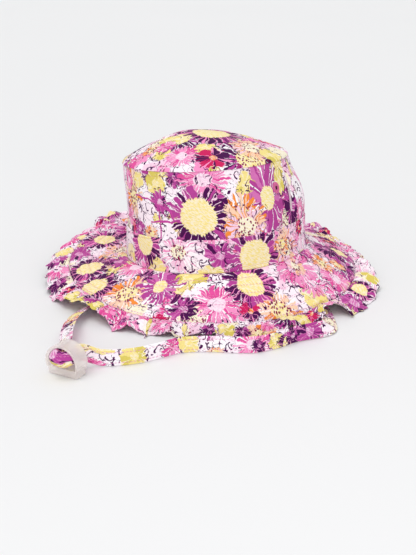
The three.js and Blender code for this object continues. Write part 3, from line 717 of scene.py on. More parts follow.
def plainCotton(name, light, dark):
    material, pad = newMaterial(name)
    cloth = pad.add("ShaderNodeUVMap", uv_map="clothPlace").outputs[0]
    patches = pad.noise(cloth, 0.09, 3.0, "2D").outputs["Fac"]
    colour = pad.blend(pad.step(patches, 0.35, 0.65), paint(dark), paint(light))
    clothSurface(pad, colour, cloth, finish["liningRoughness"])
    return material


placedBlooms = {
    # kind, place on the cloth, radius, height to width, turn in degrees
    "wall": [
        ("paleBlot", -66, 52, 26, 1.0, 0), ("paleBlot", -40, 62, 20, 1.0, 0),
        ("paleBlot", 20, 66, 16, 0.8, 0), ("leaf", -52, 73, 14, 0.75, 20),
        ("plumPetals", -31, 78, 9, 1.0, 10), ("leaf", 37, 69, 12, 0.9, -30),
        ("leaf", 83, 78, 12, 1.2, 40), ("orchidBlot", -49, 57, 12, 0.8, 60),
        ("pansy", -92, 34, 8, 1.3, 0), ("paleBlot", 22, 76, 12, 0.8, 0),
        ("orchidDaisy", 58, 55, 26, 1.3, 15), ("gerbera", -88, 60, 19, 1.3, 0),
        ("leaf", -76, 74, 9, 0.8, 0), ("plumPetals", 92, 42, 13, 1.6, 0), ("leaf", 104, 66, 8, 2.2, 20),
        ("whiteDaisy", 96, 66, 8, 2.5, 0), ("leaf", 80, 65, 7, 1.8, 0),
        ("paleBlot", 109, 48, 13, 1.5, 0), ("carnation", 104, 34, 9, 1.4, 0),
        ("leaf", -60, 32, 9, 0.8, 0), ("paleBlot", -46, 34, 15, 1.0, 0),
        ("paleBlot", -66, 40, 18, 1.0, 0), ("orchidBlot", -79, 32, 8, 1.2, 0),
        ("carnation", -96, 72, 9, 1.2, 0), ("gerbera", -62, 30, 9, 0.8, 0),
        ("leaf", -54, 43, 6, 0.7, 20), ("rose", -99, 40, 10, 1.0, 0), ("gerbera", 29, 42, 24, 0.95, 0),
        ("paleGerbera", 32, 35, 22, 0.9, 0), ("plumPetals", 3, 60, 15, 0.7, 0),
        ("plumPetals", -14, 26, 21, 0.45, 0), ("carnation", -3, 76, 27, 0.55, 0),
        ("daisy", -11, 46, 32, 0.88, 8), ("darkDaisy", 148, 42, 24, 1.0, 0),
    ],
    "band": [
        ("paleBlot", -18, 8, 22, 0.5, 0), ("leaf", -4, 1, 13, 0.4, 0), ("leaf", -58, 4, 12, 0.7, 0),
        ("pansy", 97, 21, 9, 1, 0), ("orchidBlot", 4, 14, 14, 0.9, 0),
        ("whiteDaisy", -33, 17, 20, 0.8, 0), ("darkDaisy", -71, 21, 21, 1.0, 0),
        ("paleGerbera", 70, 10, 18, 1.1, 0), ("gerbera", 66, 14, 9, 1.2, 0),
        ("daisy", 35, 9, 27, 1.0, 0),
    ],
    "brim": [
        ("orchidBlot", -124, 6, 13, 1.2, 0), ("carnation", -122, -52, 15, 1, 0),
        ("orchidBlot", -84, -30, 14, 1, 0), ("leaf", -22, -92, 19, 0.6, 0),
        ("leaf", 86, -92, 14, 0.9, 30), ("carnation", 83, -76, 16, 1, 0), ("leaf", -88, -52, 8, 1, 0),
        ("plumPetals", -58, -74, 12, 0.8, 0), ("gerbera", -96, -8, 10, 1, 0),
        ("carnation", 108, -54, 15, 1, 0), ("plumPetals", 119, -22, 12, 1.4, 0),
        ("plumPetals", 104, -8, 13, 1.2, 0), ("darkDaisy", 118, 4, 15, 1, 0),
        ("gerbera", 112, -30, 8, 1, 0), ("pansy", 110, 36, 13, 1, 0), ("paleBlot", 0, -106, 26, 0.5, 0),
        ("gerbera", 97, -42, 11, 1, 0), ("carnation", 71, -64, 22, 1.0, 0),
        ("paleGerbera", 71, -64, 10, 1, 0), ("carnation", -66, -52, 18, 1, 0),
        ("paleGerbera", -86, 6, 17, 1.2, 0), ("gerbera", -72, -90, 23, 0.9, 0),
        ("plumDaisy", -110, -32, 24, 1, 0), ("plumDaisy", -102, -70, 24, 0.9, 0),
        ("orchidDaisy", -44, -91, 20, 1, 0), ("plumDaisy", -103, 38, 21, 1.1, 0),
        ("carnation", 3, -117, 21, 0.9, 0), ("plumPetals", -24, -119, 15, 0.8, 0),
        ("pansy", 31, -120, 10, 0.9, 0), ("gerbera", 55, -114, 21, 0.9, 0),
        ("darkDaisy", 31, -97, 24, 0.9, 0),
    ],
    "tip": [
        ("leaf", -6, -38, 12, 0.8, 0), ("leaf", -38, -13, 12, 0.8, 40), ("rose", -63, -26, 12, 1.1, 0),
        ("gerbera", -53, -20, 9, 1, 0), ("rose", -41, -24, 10, 1, 0), ("carnation", -26, -46, 15, 1, 0),
        ("paleGerbera", 33, -27, 20, 1, 0), ("leaf", 50, -30, 11, 1, 0), ("pansy", 1, -52, 18, 0.85, 0),
        ("plumDaisy", -1, -4, 32, 0.85, 0), ("whiteDaisy", 40, 26, 20, 1, 0),
        ("orchidDaisy", -30, 40, 22, 1, 0),
    ],
    "ruffle": [
        ("pansy", 415, 12, 13, 1.2, 0), ("leaf", 392, 12, 10, 1, 0), ("gerbera", 400, 16, 6, 1, 0),
        ("leaf", 13, 11, 13, 0.6, 0), ("plumPetals", 32, 15, 11, 0.8, 0), ("rose", 62, 12, 9, 1, 0),
        ("leaf", 104, 12, 9, 1.2, 0), ("pansy", 119, 13, 10, 1, 0), ("leaf", 136, 16, 8, 1, 0),
        ("orchidBlot", 187, 14, 15, 1, 0), ("darkDaisy", 222, 9, 15, 1, 0), ("leaf", 261, 18, 12, 1, 0),
        ("pansy", 997, 10, 9, 1, 0), ("leaf", 1019, 19, 10, 1, 0), ("rose", 1079, 15, 12, 1, 0),
        ("rose", 1100, 15, 12, 1, 0), ("plumPetals", 1103, 15, 3.5, 1.2, 0),
        ("paleBlot", 1128, 14, 9, 1, 0), ("leaf", 1131, 12, 4, 2.5, 0),
        ("carnation", 1150, 13, 11, 0.9, 0), ("paleBlot", 1167, 12, 9, 1, 0),
        ("leaf", 1172, 12, 4, 2.5, 0), ("darkDaisy", 754, 20, 17, 1, 0), ("pansy", 786, 12, 10, 1, 0),
        ("rose", 848, 12, 13, 1, 0), ("leaf", 880, 10, 12, 1, 0), ("orchidBlot", 908, 14, 14, 1, 0),
        ("carnation", 940, 12, 14, 1, 0), ("plumPetals", 968, 14, 12, 1, 0),
        ("orchidBlot", 1048, 10, 13, 1, 0), ("rose", 820, 14, 12, 1, 0),
        ("plumPetals", 1200, 16, 10, 1, 0),
    ],
    "strap": [
        ("paleBlot", 290, 0, 24, 0.6, 0), ("paleBlot", 320, 0, 20, 0.7, 0),
        ("paleBlot", 382, 0, 18, 0.6, 0), ("paleBlot", 356, 0, 14, 0.7, 0),
        ("orchidBlot", 236, 5, 14, 0.9, 0), ("leaf", 241, -6, 10, 0.7, 0), ("leaf", 278, 6, 12, 0.3, 0),
        ("leaf", 304, 0, 11, 1.1, 0), ("rose", 275, -7, 11, 0.5, 0), ("rose", 336, 0, 10, 0.9, 0),
        ("leaf", 350, 1, 10, 0.9, 20), ("gerbera", 371, -7, 9, 0.6, 0),
        ("carnation", 400, 0, 17, 0.8, 0), ("plumPetals", 404, -1, 6, 0.9, 0),
        ("leaf", 419, -1, 8, 1.1, 0), ("darkDaisy", 430, -4, 10, 1, 0), ("plumPetals", 436, 0, 9, 1, 0),
        ("orchidBlot", 452, 0, 13, 1, 0), ("paleBlot", 472, 2, 9, 1, 0), ("leaf", 137, 0, 9, 1, 0),
        ("gerbera", 150, 2, 8, 1, 0), ("paleBlot", 180, 0, 14, 0.8, 0),
    ],
}
print("print nodes made")


# Stitches: small threads laid along a row, each a spindle whose ends sink into the cloth
stitching = {"length": 2.3, "pitch": 3.0, "thickness": 0.2, "sink": 0.05, "sides": 6}
# along a thread: share of its length, its size and how far it is lifted
spindle = np.array([(0, 0.35, -1), (0.25, 1, 0.6), (0.75, 1, 0.6), (1, 0.35, -1)])


def alongLine(points):  # the way from the first point to each point
    return np.concatenate([[0], np.cumsum(np.linalg.norm(np.diff(points, axis=0), axis=1))])


def stitchRow(points, normals, closed):
    if closed:
        points, normals = np.vstack([points, points[:1]]), np.vstack([normals, normals[:1]])
    along = alongLine(points)
    count = int(along[-1] / stitching["pitch"])
    starts = np.arange(count) * along[-1] / count
    shares, sizes, lifts = spindle.T
    at = starts[:, None] + shares * stitching["length"]
    middle = np.stack([np.interp(at, along, points[:, axis]) for axis in range(3)], axis=-1)
    up = unit(np.stack([np.interp(at, along, normals[:, axis]) for axis in range(3)], axis=-1))
    forward = unit(np.gradient(middle, axis=1))
    side = np.cross(forward, up)
    lift = (lifts * stitching["thickness"] + stitching["sink"])[None, :, None]
    turns = np.arange(stitching["sides"]) / stitching["sides"] * math.tau
    ring = (side[:, :, None] * np.cos(turns)[:, None] + up[:, :, None] * np.sin(turns)[:, None])
    wide = stitching["thickness"] * sizes[None, :, None, None]
    spots = (middle + up * lift)[:, :, None] + ring * wide
    return spots.reshape(-1, 3), count


def stitchPiece(name, rows, material):
    sides, each = stitching["sides"], stitching["sides"] * len(spindle)
    one = []
    for level in range(len(spindle) - 1):
        for turn in range(sides):
            a, b = level * sides + turn, level * sides + (turn + 1) % sides
            one.append((b, a, a + sides, b + sides))
    points, faces, first = [], [], 0
    for path, normals, closed in rows:
        spots, count = stitchRow(path, normals, closed)
        points.append(spots)
        block = np.array(one)[None] + (np.arange(count) * each)[:, None, None]
        faces.append(block.reshape(-1, 4) + first)
        first += count * each
    lids = np.arange(first // each)[:, None] * each
    starts, ends = lids + np.arange(sides), lids + each - sides + np.arange(sides)[::-1]
    parts = []
    for corners in (np.concatenate(faces), starts, ends):
        parts.append((corners, np.zeros((*corners.shape, 2)), 0))
    piece = makeMesh(name, np.concatenate(points), parts, [material])
    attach(piece, "root")
    return piece


def threadMaterial(name, light, dark):
    material, pad = newMaterial(name)
    shader = material.node_tree.nodes["Principled BSDF"]
    coords = pad.add("ShaderNodeTexCoord").outputs["Object"]
    twist = pad.add("ShaderNodeTexWave", bands_direction="DIAGONAL")
    pad.feed(twist.inputs["Vector"], coords)
    twist.inputs["Scale"].default_value = 900
    pad.feed(shader.inputs["Base Color"], pad.blend(twist.outputs["Fac"], paint(dark), paint(light)))
    bump = pad.add("ShaderNodeBump")
    bump.inputs["Strength"].default_value = 0.3
    bump.inputs["Distance"].default_value = 0.0001
    pad.feed(bump.inputs["Height"], twist.outputs["Fac"])
    pad.feed(shader.inputs["Normal"], bump.outputs[0])
    shader.inputs["Roughness"].default_value = 0.6
    shader.inputs["Sheen Weight"].default_value = 0.2
    return material


# Chin strap: the same route as the CAD strap, x, y, z and the direction across it
strap = {
    "width": 13.0, "thickness": 1.7, "edgeStitch": 4.2, "stepLength": 1.0, "faceColumns": 15,
    "foldPuff": 4.8, "foldLength": 15, "routeSteps": 24, "edgeRounding": 5, "pathEvery": 6,
}
strapRows = np.array([
    (-74, -3, 38, 0, 1, 0), (-73.8, -4, 25, 0, 1, 0), (-74.2, -9, 14, .1, .9, .3),
    (-77, -20, 9.3, 0, .4, .9), (-82, -37, 7.4, .1, 0, 1), (-89, -55, 6.8, .4, 0, .9),
    (-99, -74, 5.2, .75, 0, .6), (-107, -90, 4.6, .9, 0, .42), (-112.5, -105, 5.2, .93, 0, .36),
    (-115, -121, 7, .9, 0, .44), (-115, -141, 9.4, .88, 0, .48),
    (-113.6, -161, 11.4, .84, 0, .54), (-111, -176, 12.4, .7, 0, .71),
    (-108.6, -187, 13.4, .35, 0, .94), (-108.3, -194.4, 14, 0, 0, 1), (-111.3, -201.6, 14.3, 0, 0, 1),
    (-114.2, -205.9, 14.3, 0, 0, 1), (-114, -208.5, 14.3, 0, 0, 1), (-111.3, -211.1, 14.3, 0, 0, 1),
    (-107.7, -212, 14.3, 0, 0, 1), (-105.2, -210.2, 14.3, 0, 0, 1), (-103.4, -206.2, 14.3, 0, 0, 1),
    (-99.3, -198.2, 14, 0, 0, 1), (-94.4, -194.4, 11.3, 0, .05, 1), (-84, -193.6, 7.7, 0, .1, .99),
    (-70, -192, 6.8, 0, .1, .99), (-56, -188, 6.8, 0, .1, .99), (-41, -179.8, 6.8, 0, .1, .99),
    (-26, -170.5, 6.8, 0, .1, .99), (-7, -167.6, 6.8, 0, .1, .99), (16, -169.4, 6.8, 0, .14, .98),
    (33, -169, 6.8, 0, .2, .97), (49, -161.6, 6.8, 0, .2, .97), (65, -150, 6.8, -.05, .2, .97),
    (79, -143, 6.8, -.1, .25, .95), (89, -137.6, 6.4, -.3, .3, .88), (95, -127.8, 4, -.86, .2, .4),
    (95.5, -112, 3.2, -.95, 0, .3), (94.5, -93, 3, -.97, 0, .24), (92, -71, 5.4, -.8, 0, .6),
    (89, -46, 8, -.3, 0, .95), (83.4, -24, 12, 0, .4, .9), (80.4, -10, 22, 0, .95, .3),
    (79.4, -5, 36, 0, 1, 0), (79, -4, 50, 0, 1, 0),
])


def strapLine():  # a centripetal spline through the route's points
    spots = strapRows[:, :3]
    padded = np.vstack([2 * spots[0] - spots[1], spots, 2 * spots[-1] - spots[-2]])
    line, rowNumbers = [], []
    share = np.arange(strap["routeSteps"]) / strap["routeSteps"]
    for number in range(len(spots) - 1):
        p0, p1, p2, p3 = padded[number:number + 4]
        d0, d1, d2 = [math.sqrt(np.linalg.norm(b - a)) for a, b in ((p0, p1), (p1, p2), (p2, p3))]
        start = ((p1 - p0) / d0 - (p2 - p0) / (d0 + d1) + (p2 - p1) / d1) * d1
        end = ((p2 - p1) / d1 - (p3 - p1) / (d1 + d2) + (p3 - p2) / d2) * d1
        t = share[:, None]
        line.append(p1 + start * t + (-3 * p1 + 3 * p2 - 2 * start - end) * t ** 2
                    + (2 * p1 - 2 * p2 + start + end) * t ** 3)
        rowNumbers.append(number + share)
    return np.vstack([*line, spots[-1:]]), np.concatenate([*rowNumbers, [len(spots) - 1]])


def strapCourse():  # even steps along the strap: distance, middle, and the directions across and out
    line, rowNumbers = strapLine()
    along = alongLine(line)
    at = np.linspace(0, along[-1], int(along[-1] / strap["stepLength"]) + 1)
    middle = np.stack([np.interp(at, along, line[:, axis]) for axis in range(3)], axis=1)
    row = np.interp(at, along, rowNumbers)
    numbers, blunt = np.arange(len(strapRows)), np.ones(9) / 9
    wide = np.stack([np.interp(row, numbers, strapRows[:, 3 + axis]) for axis in range(3)], axis=1)
    wide = np.stack([np.convolve(np.pad(wide[:, axis], 4, mode="edge"), blunt, "valid")
                     for axis in range(3)], axis=1)
    forward = unit(np.gradient(middle, axis=0))
    wide = unit(wide - forward * np.sum(wide * forward, axis=1, keepdims=True))
    return at, middle, wide, np.cross(forward, wide)


def strapSkin(u, v):  # faces of a flat tube whose front and back are grids, with their places
    rows, steps = u.shape
    total = rows * steps
    u, v = u.ravel(), v.ravel()
    parts = []

    def addFaces(corner, where, turned):
        parts.append((corner[:, ::-1], where[:, ::-1], 0) if turned else (corner, where, 0))

    row, step = [g.ravel() for g in np.meshgrid(np.arange(rows - 1), np.arange(steps - 1), indexing="ij")]
    first = row * steps + step
    for layer in (0, 1):
        corner = np.stack([first, first + 1, first + steps + 1, first + steps], axis=1)
        where = np.stack([u[corner], v[corner] + 40 * layer], axis=-1)  # the back shows other flowers
        addFaces(corner + layer * total, where, layer == 0)
    line = np.arange(rows - 1) * steps
    for column, turned in ((0, True), (steps - 1, False)):
        a = line + column
        corner = np.stack([a, a + steps, a + steps + total, a + total], axis=1)
        where = np.repeat(np.stack([u[a], v[a]], axis=-1)[:, None], 4, axis=1)
        addFaces(corner, where, turned)
    line = np.arange(steps - 1)
    for start, turned in ((0, False), (total - steps, True)):
        a = start + line
        corner = np.stack([a, a + 1, a + 1 + total, a + total], axis=1)
        addFaces(corner, np.zeros((len(corner), 4, 2)), turned)
    return parts


def makeStrap():
    at, middle, wide, thick = strapCourse()
    half = strap["width"] / 2
    columns = np.sin(np.linspace(-math.pi / 2, math.pi / 2, strap["faceColumns"]))
    across, along = columns[None, :] * half, at[:, None]
    body = np.sqrt(np.clip(1 - np.abs(columns) ** strap["edgeRounding"], 0, 1))[None, :]
    groove = 0.32 * bell(np.abs(across) - strap["edgeStitch"], 0.5)
    puff = 0.16 * softNoise(31, along / 7, across / 9) + 0.12 * softNoise(32, along / 3.2, across / 3)
    turning = at[np.argmin(middle[:, 1])]  # where the strap turns round inside the slider
    fold = strap["foldPuff"] * np.exp(-((along - turning) / strap["foldLength"]) ** 4)
    fold = fold * (1 - columns ** 2)[None, :]
    height = (strap["thickness"] / 2 + puff + fold) * body - groove * body
    sway = 0.3 * softNoise(33, along / 45, 0 * across)
    grids = []
    for sign in (1, -1):
        grids.append(middle[:, None] + wide[:, None] * (across + sway)[..., None]
                     + thick[:, None] * (sign * height)[..., None])
    parts = strapSkin(*np.broadcast_arrays(along, across))
    cotton = printedCotton("strapCotton", placedBlooms["strap"], (90, 40))
    points = np.concatenate([grid.reshape(-1, 3) for grid in grids])
    piece = makeMesh("chinStrap", points, parts, [cotton])
    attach(piece, "root")
    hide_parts("chin_strap")
    rowsOfThread = []
    for sign in (1, -1):
        column = np.argmin(np.abs(columns * half - sign * strap["edgeStitch"]))
        for grid, out in zip(grids, (thick, -thick)):
            rowsOfThread.append((grid[:, column], out, False))
    threads = stitchPiece("strapStitches", rowsOfThread, threadMaterial("roseThread", "f3a9cf", "cf6aa5"))
    path = (middle[::strap["pathEvery"]] + hatShift) * 0.001
    return piece, threads, path, at[-1] * 0.001


strapPiece, strapThreads, strapPath, strapLength = makeStrap()
print("chin strap made,", round(strapLength * 1000), "mm")

# Crown wall, band and tip panel: folds, stitches and rolled seams of the cloth, in millimetres
crownDetail = {
    "steps": 480, "wrinkle": 0.55, "creases": 0.2, "pucker": 0.22, "topStitch": 5.0,
    "bandStitch": 2.2, "footStitch": 2.6, "seamRoll": 1.3, "bandRoll": 0.8, "tipRoll": 1.6,
    "tipRidge": 0.35, "bandInside": 1.0, "bandOutside": 2.1, "printRadius": 84, "tipHalf": 73,
    "sideSeams": (-97, 90), "seamRadius": 80,
}
# the soft crease on the wall's right: its way up, its depth in mm and its width in degrees
creaseLine = {
    "rise": [0.3, 0.45, 0.62, 0.8, 1.0], "angle": [60, 62, 63.5, 65, 66], "depth": 1.7, "width": 1.6,
}
roseThread = bpy.data.materials["roseThread"]
lining = plainCotton("liningCotton", "e9dcdf", "d6c3c8")
fullTurn = np.arange(crownDetail["steps"]) / crownDetail["steps"] * math.tau
halfPanel = crown["panelWall"] / 2


def wallOut(angle, rise):  # how far the wall's cloth stands off its plain form
    soft = crownDetail["wrinkle"] * ringNoise(3, angle, rise * 1.3, 11)
    fine = crownDetail["creases"] * ringNoise(4, angle, rise * 4.5, 36)
    return (soft + fine) * np.clip(np.sin(np.pi * np.clip(rise, 0, 1)) * 1.6, 0, 1)


def sideSeams(angle):  # the wall's two panels meet in upright seams at the sides
    groove = np.zeros_like(angle)
    for at in crownDetail["sideSeams"]:
        away = turnedFrom(angle, math.radians(at)) * crownDetail["seamRadius"]
        groove += 0.35 * bell(away, 0.6)
        groove -= 0.2 * bell(away - 3, 2.2)
    return groove


def creaseOut(angle, rise):
    at = np.radians(np.interp(rise, creaseLine["rise"], creaseLine["angle"]))
    away = np.degrees(turnedFrom(angle, at)) / creaseLine["width"]
    fade = ease((rise - 0.3) / 0.2) * ease((1.02 - rise) / 0.12)
    lips = 0.6 * bell(away - 2.4, 1.5) + 0.3 * bell(away + 2.4, 1.5)
    return creaseLine["depth"] * (lips - bell(away, 1)) * fade


def wallPlaces(heights):  # the cloth's print starts and ends at the back seam
    radius = crownDetail["printRadius"]
    turn, height = np.meshgrid(np.where(fullTurn > math.pi, fullTurn - math.tau, fullTurn), heights)
    places = np.stack([turn * radius, height], axis=-1)
    oneStep = radius * math.tau / crownDetail["steps"]
    return np.concatenate([places, places[:, -1:] + [oneStep, 0]], axis=1)


def makeWall():
    c = crownDetail
    rise = np.concatenate([np.linspace(0, 0.3, 6), np.linspace(0.31, 0.9, 44), np.linspace(0.905, 1, 22)])
    angle, s = np.meshgrid(fullTurn, rise)
    below = (1 - s) * crown["wallHeight"]
    out = halfPanel + wallOut(angle, s) - sideSeams(angle) + creaseOut(angle, s)
    out = out - 0.32 * bell(below - c["topStitch"], 0.6)
    out = out + c["pucker"] * ringNoise(5, angle, s * 3, 105) * bell(below - 3.2, 3.0)
    out = out - 0.6 * np.clip(1 - below / c["seamRoll"], 0, 1) ** 2
    top = wallPoint(angle, s, out)
    under = wallPoint(angle, s, np.full_like(out, -halfPanel))
    cotton = printedCotton("wallCotton", placedBlooms["wall"], withStems=True)
    piece = clothRing("crownWall", top, under, wallPlaces(rise * crown["wallHeight"]), [cotton, lining])
    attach(piece, "root")
    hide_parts("crown_side")
    row = int(np.argmin(np.abs(below[:, 0] - c["topStitch"])))
    return top[row], normalsOf(top, False)[row]


def makeBand():
    c = crownDetail
    height = np.concatenate([np.linspace(-0.7, 24, 34), np.linspace(24.3, crown["bandHeight"], 14)])
    angle, s = np.meshgrid(fullTurn, height / crown["wallHeight"])
    up = s * crown["wallHeight"]
    fromTop = crown["bandHeight"] - up
    out = c["bandOutside"] + wallOut(angle, s) - 0.3 * bell(fromTop - c["bandStitch"], 0.6)
    out = out - 0.3 * bell(up - c["footStitch"], 0.6)
    pucker = c["pucker"] * ringNoise(6, angle, s * 9, 100)
    out = out + pucker * (bell(fromTop - 2.4, 2.2) + bell(up - 2.5, 3.0))
    out = out - 0.8 * np.clip(1 - fromTop / c["bandRoll"], 0, 1) ** 2
    top = wallPoint(angle, s, out)
    under = wallPoint(angle, s, np.full_like(out, c["bandInside"]))
    cotton = printedCotton("bandCotton", placedBlooms["band"], (130, 61))
    piece = clothRing("crownBand", top, under, wallPlaces(up[:, 0]), [cotton, lining])
    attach(piece, "root")
    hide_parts("crown_band")
    normals = normalsOf(top, False)
    found = []
    for wanted, values in ((c["bandStitch"], fromTop[:, 0]), (c["footStitch"], up[:, 0])):
        row = int(np.argmin(np.abs(values - wanted)))
        found.append((top[row], normals[row]))
    return found


def makeTip():
    c = crownDetail
    share = np.concatenate([[0, .003, .007, .012, .018, .025, .034, .045], np.linspace(.06, .97, 52)])
    angle, s = np.meshgrid(fullTurn, share)
    plain = tipPoint(angle, s, 0 * s)
    x, y = plain[..., 0], plain[..., 1]
    fromEdge = s * c["tipHalf"]
    up = halfPanel + 0.5 * softNoise(21, x / 34, y / 34) * np.clip(fromEdge / 12, 0, 1)
    up = up + 0.12 * softNoise(22, x / 9, y / 9)
    up = up - 1.1 * np.clip(1 - fromEdge / c["tipRoll"], 0, 1) ** 2
    up = up + c["tipRidge"] * bell(fromEdge - 2.6, 1.6)
    up = up + c["pucker"] * ringNoise(23, angle, s * 6, 105) * bell(fromEdge - 2.5, 3.0)
    top = tipPoint(angle, s, up)
    under = tipPoint(angle, s, 0 * s - halfPanel)
    places = np.concatenate([plain[..., :2], plain[:, :1, :2]], axis=1)
    cotton = printedCotton("tipCotton", placedBlooms["tip"], (-77, 130))
    piece = clothRing("crownTip", top, under, places, [cotton, lining], closedTop=True)
    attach(piece, "root")
    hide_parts("crown_tip")


wallStitch = makeWall()
bandStitches = makeBand()
makeTip()
print("crown made")

# Brim: two cloths with wadding, sewn through in rings; lastRing is a share of the brim's width
brimDetail = {
    "steps": 420, "rows": 74, "rings": 6, "puff": 1.05, "pucker": 0.5, "sway": 0.5, "halfCloth": 0.75,
    "lowest": 0.3, "lastRing": 0.03,
}


def makeBrim():
    b = brimDetail
    ledge = rimShape["ledgeShare"]
    share = np.concatenate([np.linspace(0, ledge, 4)[:-1], np.linspace(ledge, 1, b["rows"])])
    turn = np.arange(b["steps"]) / b["steps"] * math.tau
    angle, s = np.meshgrid(turn, share)
    out = np.clip((s - ledge) / (1 - ledge), 0, 1)
    channel = np.abs(np.sin(np.pi * b["rings"] * out))
    raised = b["puff"] * channel ** 0.55 * (out > 0)
    near = 1 - channel ** 2
    pucker = b["pucker"] * (0.35 + near) * ringNoise(7, angle, out * 14, 170, 12)
    sway = b["sway"] * ringNoise(8, angle, out * 1.5, 15)
    fade = np.clip(out * 12, 0, 1)
    top = brimPoint(angle, s, b["halfCloth"] + raised + (pucker + sway) * fade)
    under = brimPoint(angle, s, -b["halfCloth"] - 0.6 * raised + (0.6 * pucker + sway) * fade)
    under[..., 2] = np.maximum(under[..., 2], b["lowest"])
    flat = brimPoint(angle, s, 0 * s)[..., :2]
    places = np.concatenate([flat, flat[:, :1]], axis=1)
    cotton = printedCotton("brimCotton", placedBlooms["brim"], (37, -90))
    piece = clothRing("stitchedBrim", top, under, places, [cotton, lining], flip=True)
    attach(piece, "root")
    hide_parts("brim")
    normals = normalsOf(top, True)
    normals = np.where(normals[..., 2:] < 0, -normals, normals)
    rings = []
    for number in range(1, b["rings"] + 1):
        wanted = number / b["rings"] - (b["lastRing"] if number == b["rings"] else 0)
        row = int(np.argmin(np.abs(out[:, 0] - wanted)))
        rings.append((top[row], normals[row], True))
    return rings


brimStitches = makeBrim()
print("brim made")

# Ruffle: a doubled strip gathered into the brim's edge, with counts of its small waves to a turn
ruffle = {
    "steps": 1500, "rows": 18, "thickness": 1.3, "fineCount": 132, "fineHeight": 1.3,
    "fullness": 1.35, "stripWidth": 24.0, "middleRadius": 140, "printRadius": 142, "lowest": 0.25,
}
# folds of the front hem: angle, width in degrees, sideways in degrees, out and height in mm
pleats = [
    (-32, 7, 0.9, 1.8, -0.6), (-21, 8, 1.8, 3.5, -1.5), (-9, 8, 1.8, 3.5, -1.5), (2, 6, 1.2, 2.0, 0.5),
    (-39, 6, 0.6, 1.2, 0.6), (49, 9, 1.6, 3.0, 0.5), (-52, 7, 1.3, 2.0, 0.5), (33, 7, 1.0, 1.5, 0.0),
]


def pleatFolds(angle, s):  # how far the folds move the hem round, out and up
    aside, out, up = 0 * angle, 0 * angle, 0 * angle
    for at, width, sideways, far, lift in pleats:
        away = np.degrees(turnedFrom(angle, math.radians(at))) / width
        near = np.exp(-(away * 1.6) ** 2) * s ** 1.2
        aside = aside - np.radians(sideways) * np.sin(math.tau * away) * near
        out = out + far * np.cos(math.tau * away) * near
        up = up + lift * near
    return aside, out, up


def makeRuffle():
    r = ruffle
    share = np.concatenate([np.linspace(0, 0.94, r["rows"] - 3), [0.965, 0.985, 1.0]])
    turn = np.arange(r["steps"]) / r["steps"] * math.tau
    angle, s = np.meshgrid(turn, share)
    high, outward, sideways = gatherWave(angle)
    gather = rimShape["gatherHeight"] * around(4, angle) * s ** 0.8
    reach = rimShape["ruffleReach"] * around(3, angle)
    fine = ringNoise(41, angle, s * 1.3, r["fineCount"], 8) * (1.1 - 0.45 * s) * np.clip(s * 6, 0.3, 1)
    tiny = ringNoise(42, angle, s * 2.0, 300, 8) * 0.35 * (1 - 0.5 * s)
    jag = ringNoise(43, angle, 0 * s, 170, 8) * 1.1 * s ** 3
    foldAside, foldOut, foldUp = pleatFolds(angle, s)
    moved = angle + gather * sideways * s / r["middleRadius"] + foldAside
    seamRadius = rimShape["brimWidth"] / 2 + seamGap
    radius = seamRadius + reach * s + 0.5 * gather * outward * s + jag + foldOut
    seamHeight = crown["footHeight"] * around(1, angle)
    hemHeight = crown["footHeight"] * around(2, angle)
    drape = mix(seamHeight, hemHeight, s) + 0.12 * reach * np.sin(np.pi * s)
    z = drape + gather * high + r["fineHeight"] * fine + tiny + foldUp
    middle = stack(radius * np.sin(moved), -radius * np.cos(moved), np.maximum(z, 1.0))
    normal = normalsOf(middle, True)
    normal = np.where(normal[..., 2:] < -0.2, -normal, normal)
    half = r["thickness"] / 2 * np.sqrt(np.clip(1 - ((s - 0.9) / 0.1).clip(0, 1) ** 2, 0.06, 1))
    top = middle + normal * half[..., None]
    under = middle - normal * half[..., None]
    for grid in (top, under):
        grid[..., 2] = np.maximum(grid[..., 2], r["lowest"])
    strip = math.tau * r["printRadius"] * r["fullness"]
    u = np.arange(r["steps"] + 1) / r["steps"] * strip
    places = np.stack(np.meshgrid(u, share * r["stripWidth"]), axis=-1)
    cotton = printedCotton("ruffleCotton", placedBlooms["ruffle"], (11, 203))
    piece = clothRing("gatheredRuffle", top, under, places, [cotton, cotton], flip=True)
    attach(piece, "root")
    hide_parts("brim_ruffle")


makeRuffle()
print("ruffle made")

stitchRows = [(path, normals, True) for path, normals in (wallStitch, *bandStitches)]
crownThreads = stitchPiece("crownStitches", stitchRows, roseThread)
brimThreads = stitchPiece("brimStitches", brimStitches, roseThread)
print("stitches made")

# Vent hole with its satin-stitched ring, on the wall's right front; hole, ring and cut are radii
vent = {"angle": 49.5, "rise": 0.737, "hole": 1.7, "ring": 5.0, "cut": 2.7, "height": 0.95, "threads": 46}


def ventFrame():
    angle, rise = np.array(math.radians(vent["angle"])), np.array(vent["rise"])
    out = halfPanel + wallOut(angle, rise)
    place = wallPoint(angle, rise, out)
    beside = unit(wallPoint(angle + 0.03, rise, out) - place)
    above = wallPoint(angle, rise + 0.02, out) - place
    above = unit(above - beside * np.dot(above, beside))
    return place, beside, above, np.cross(beside, above)


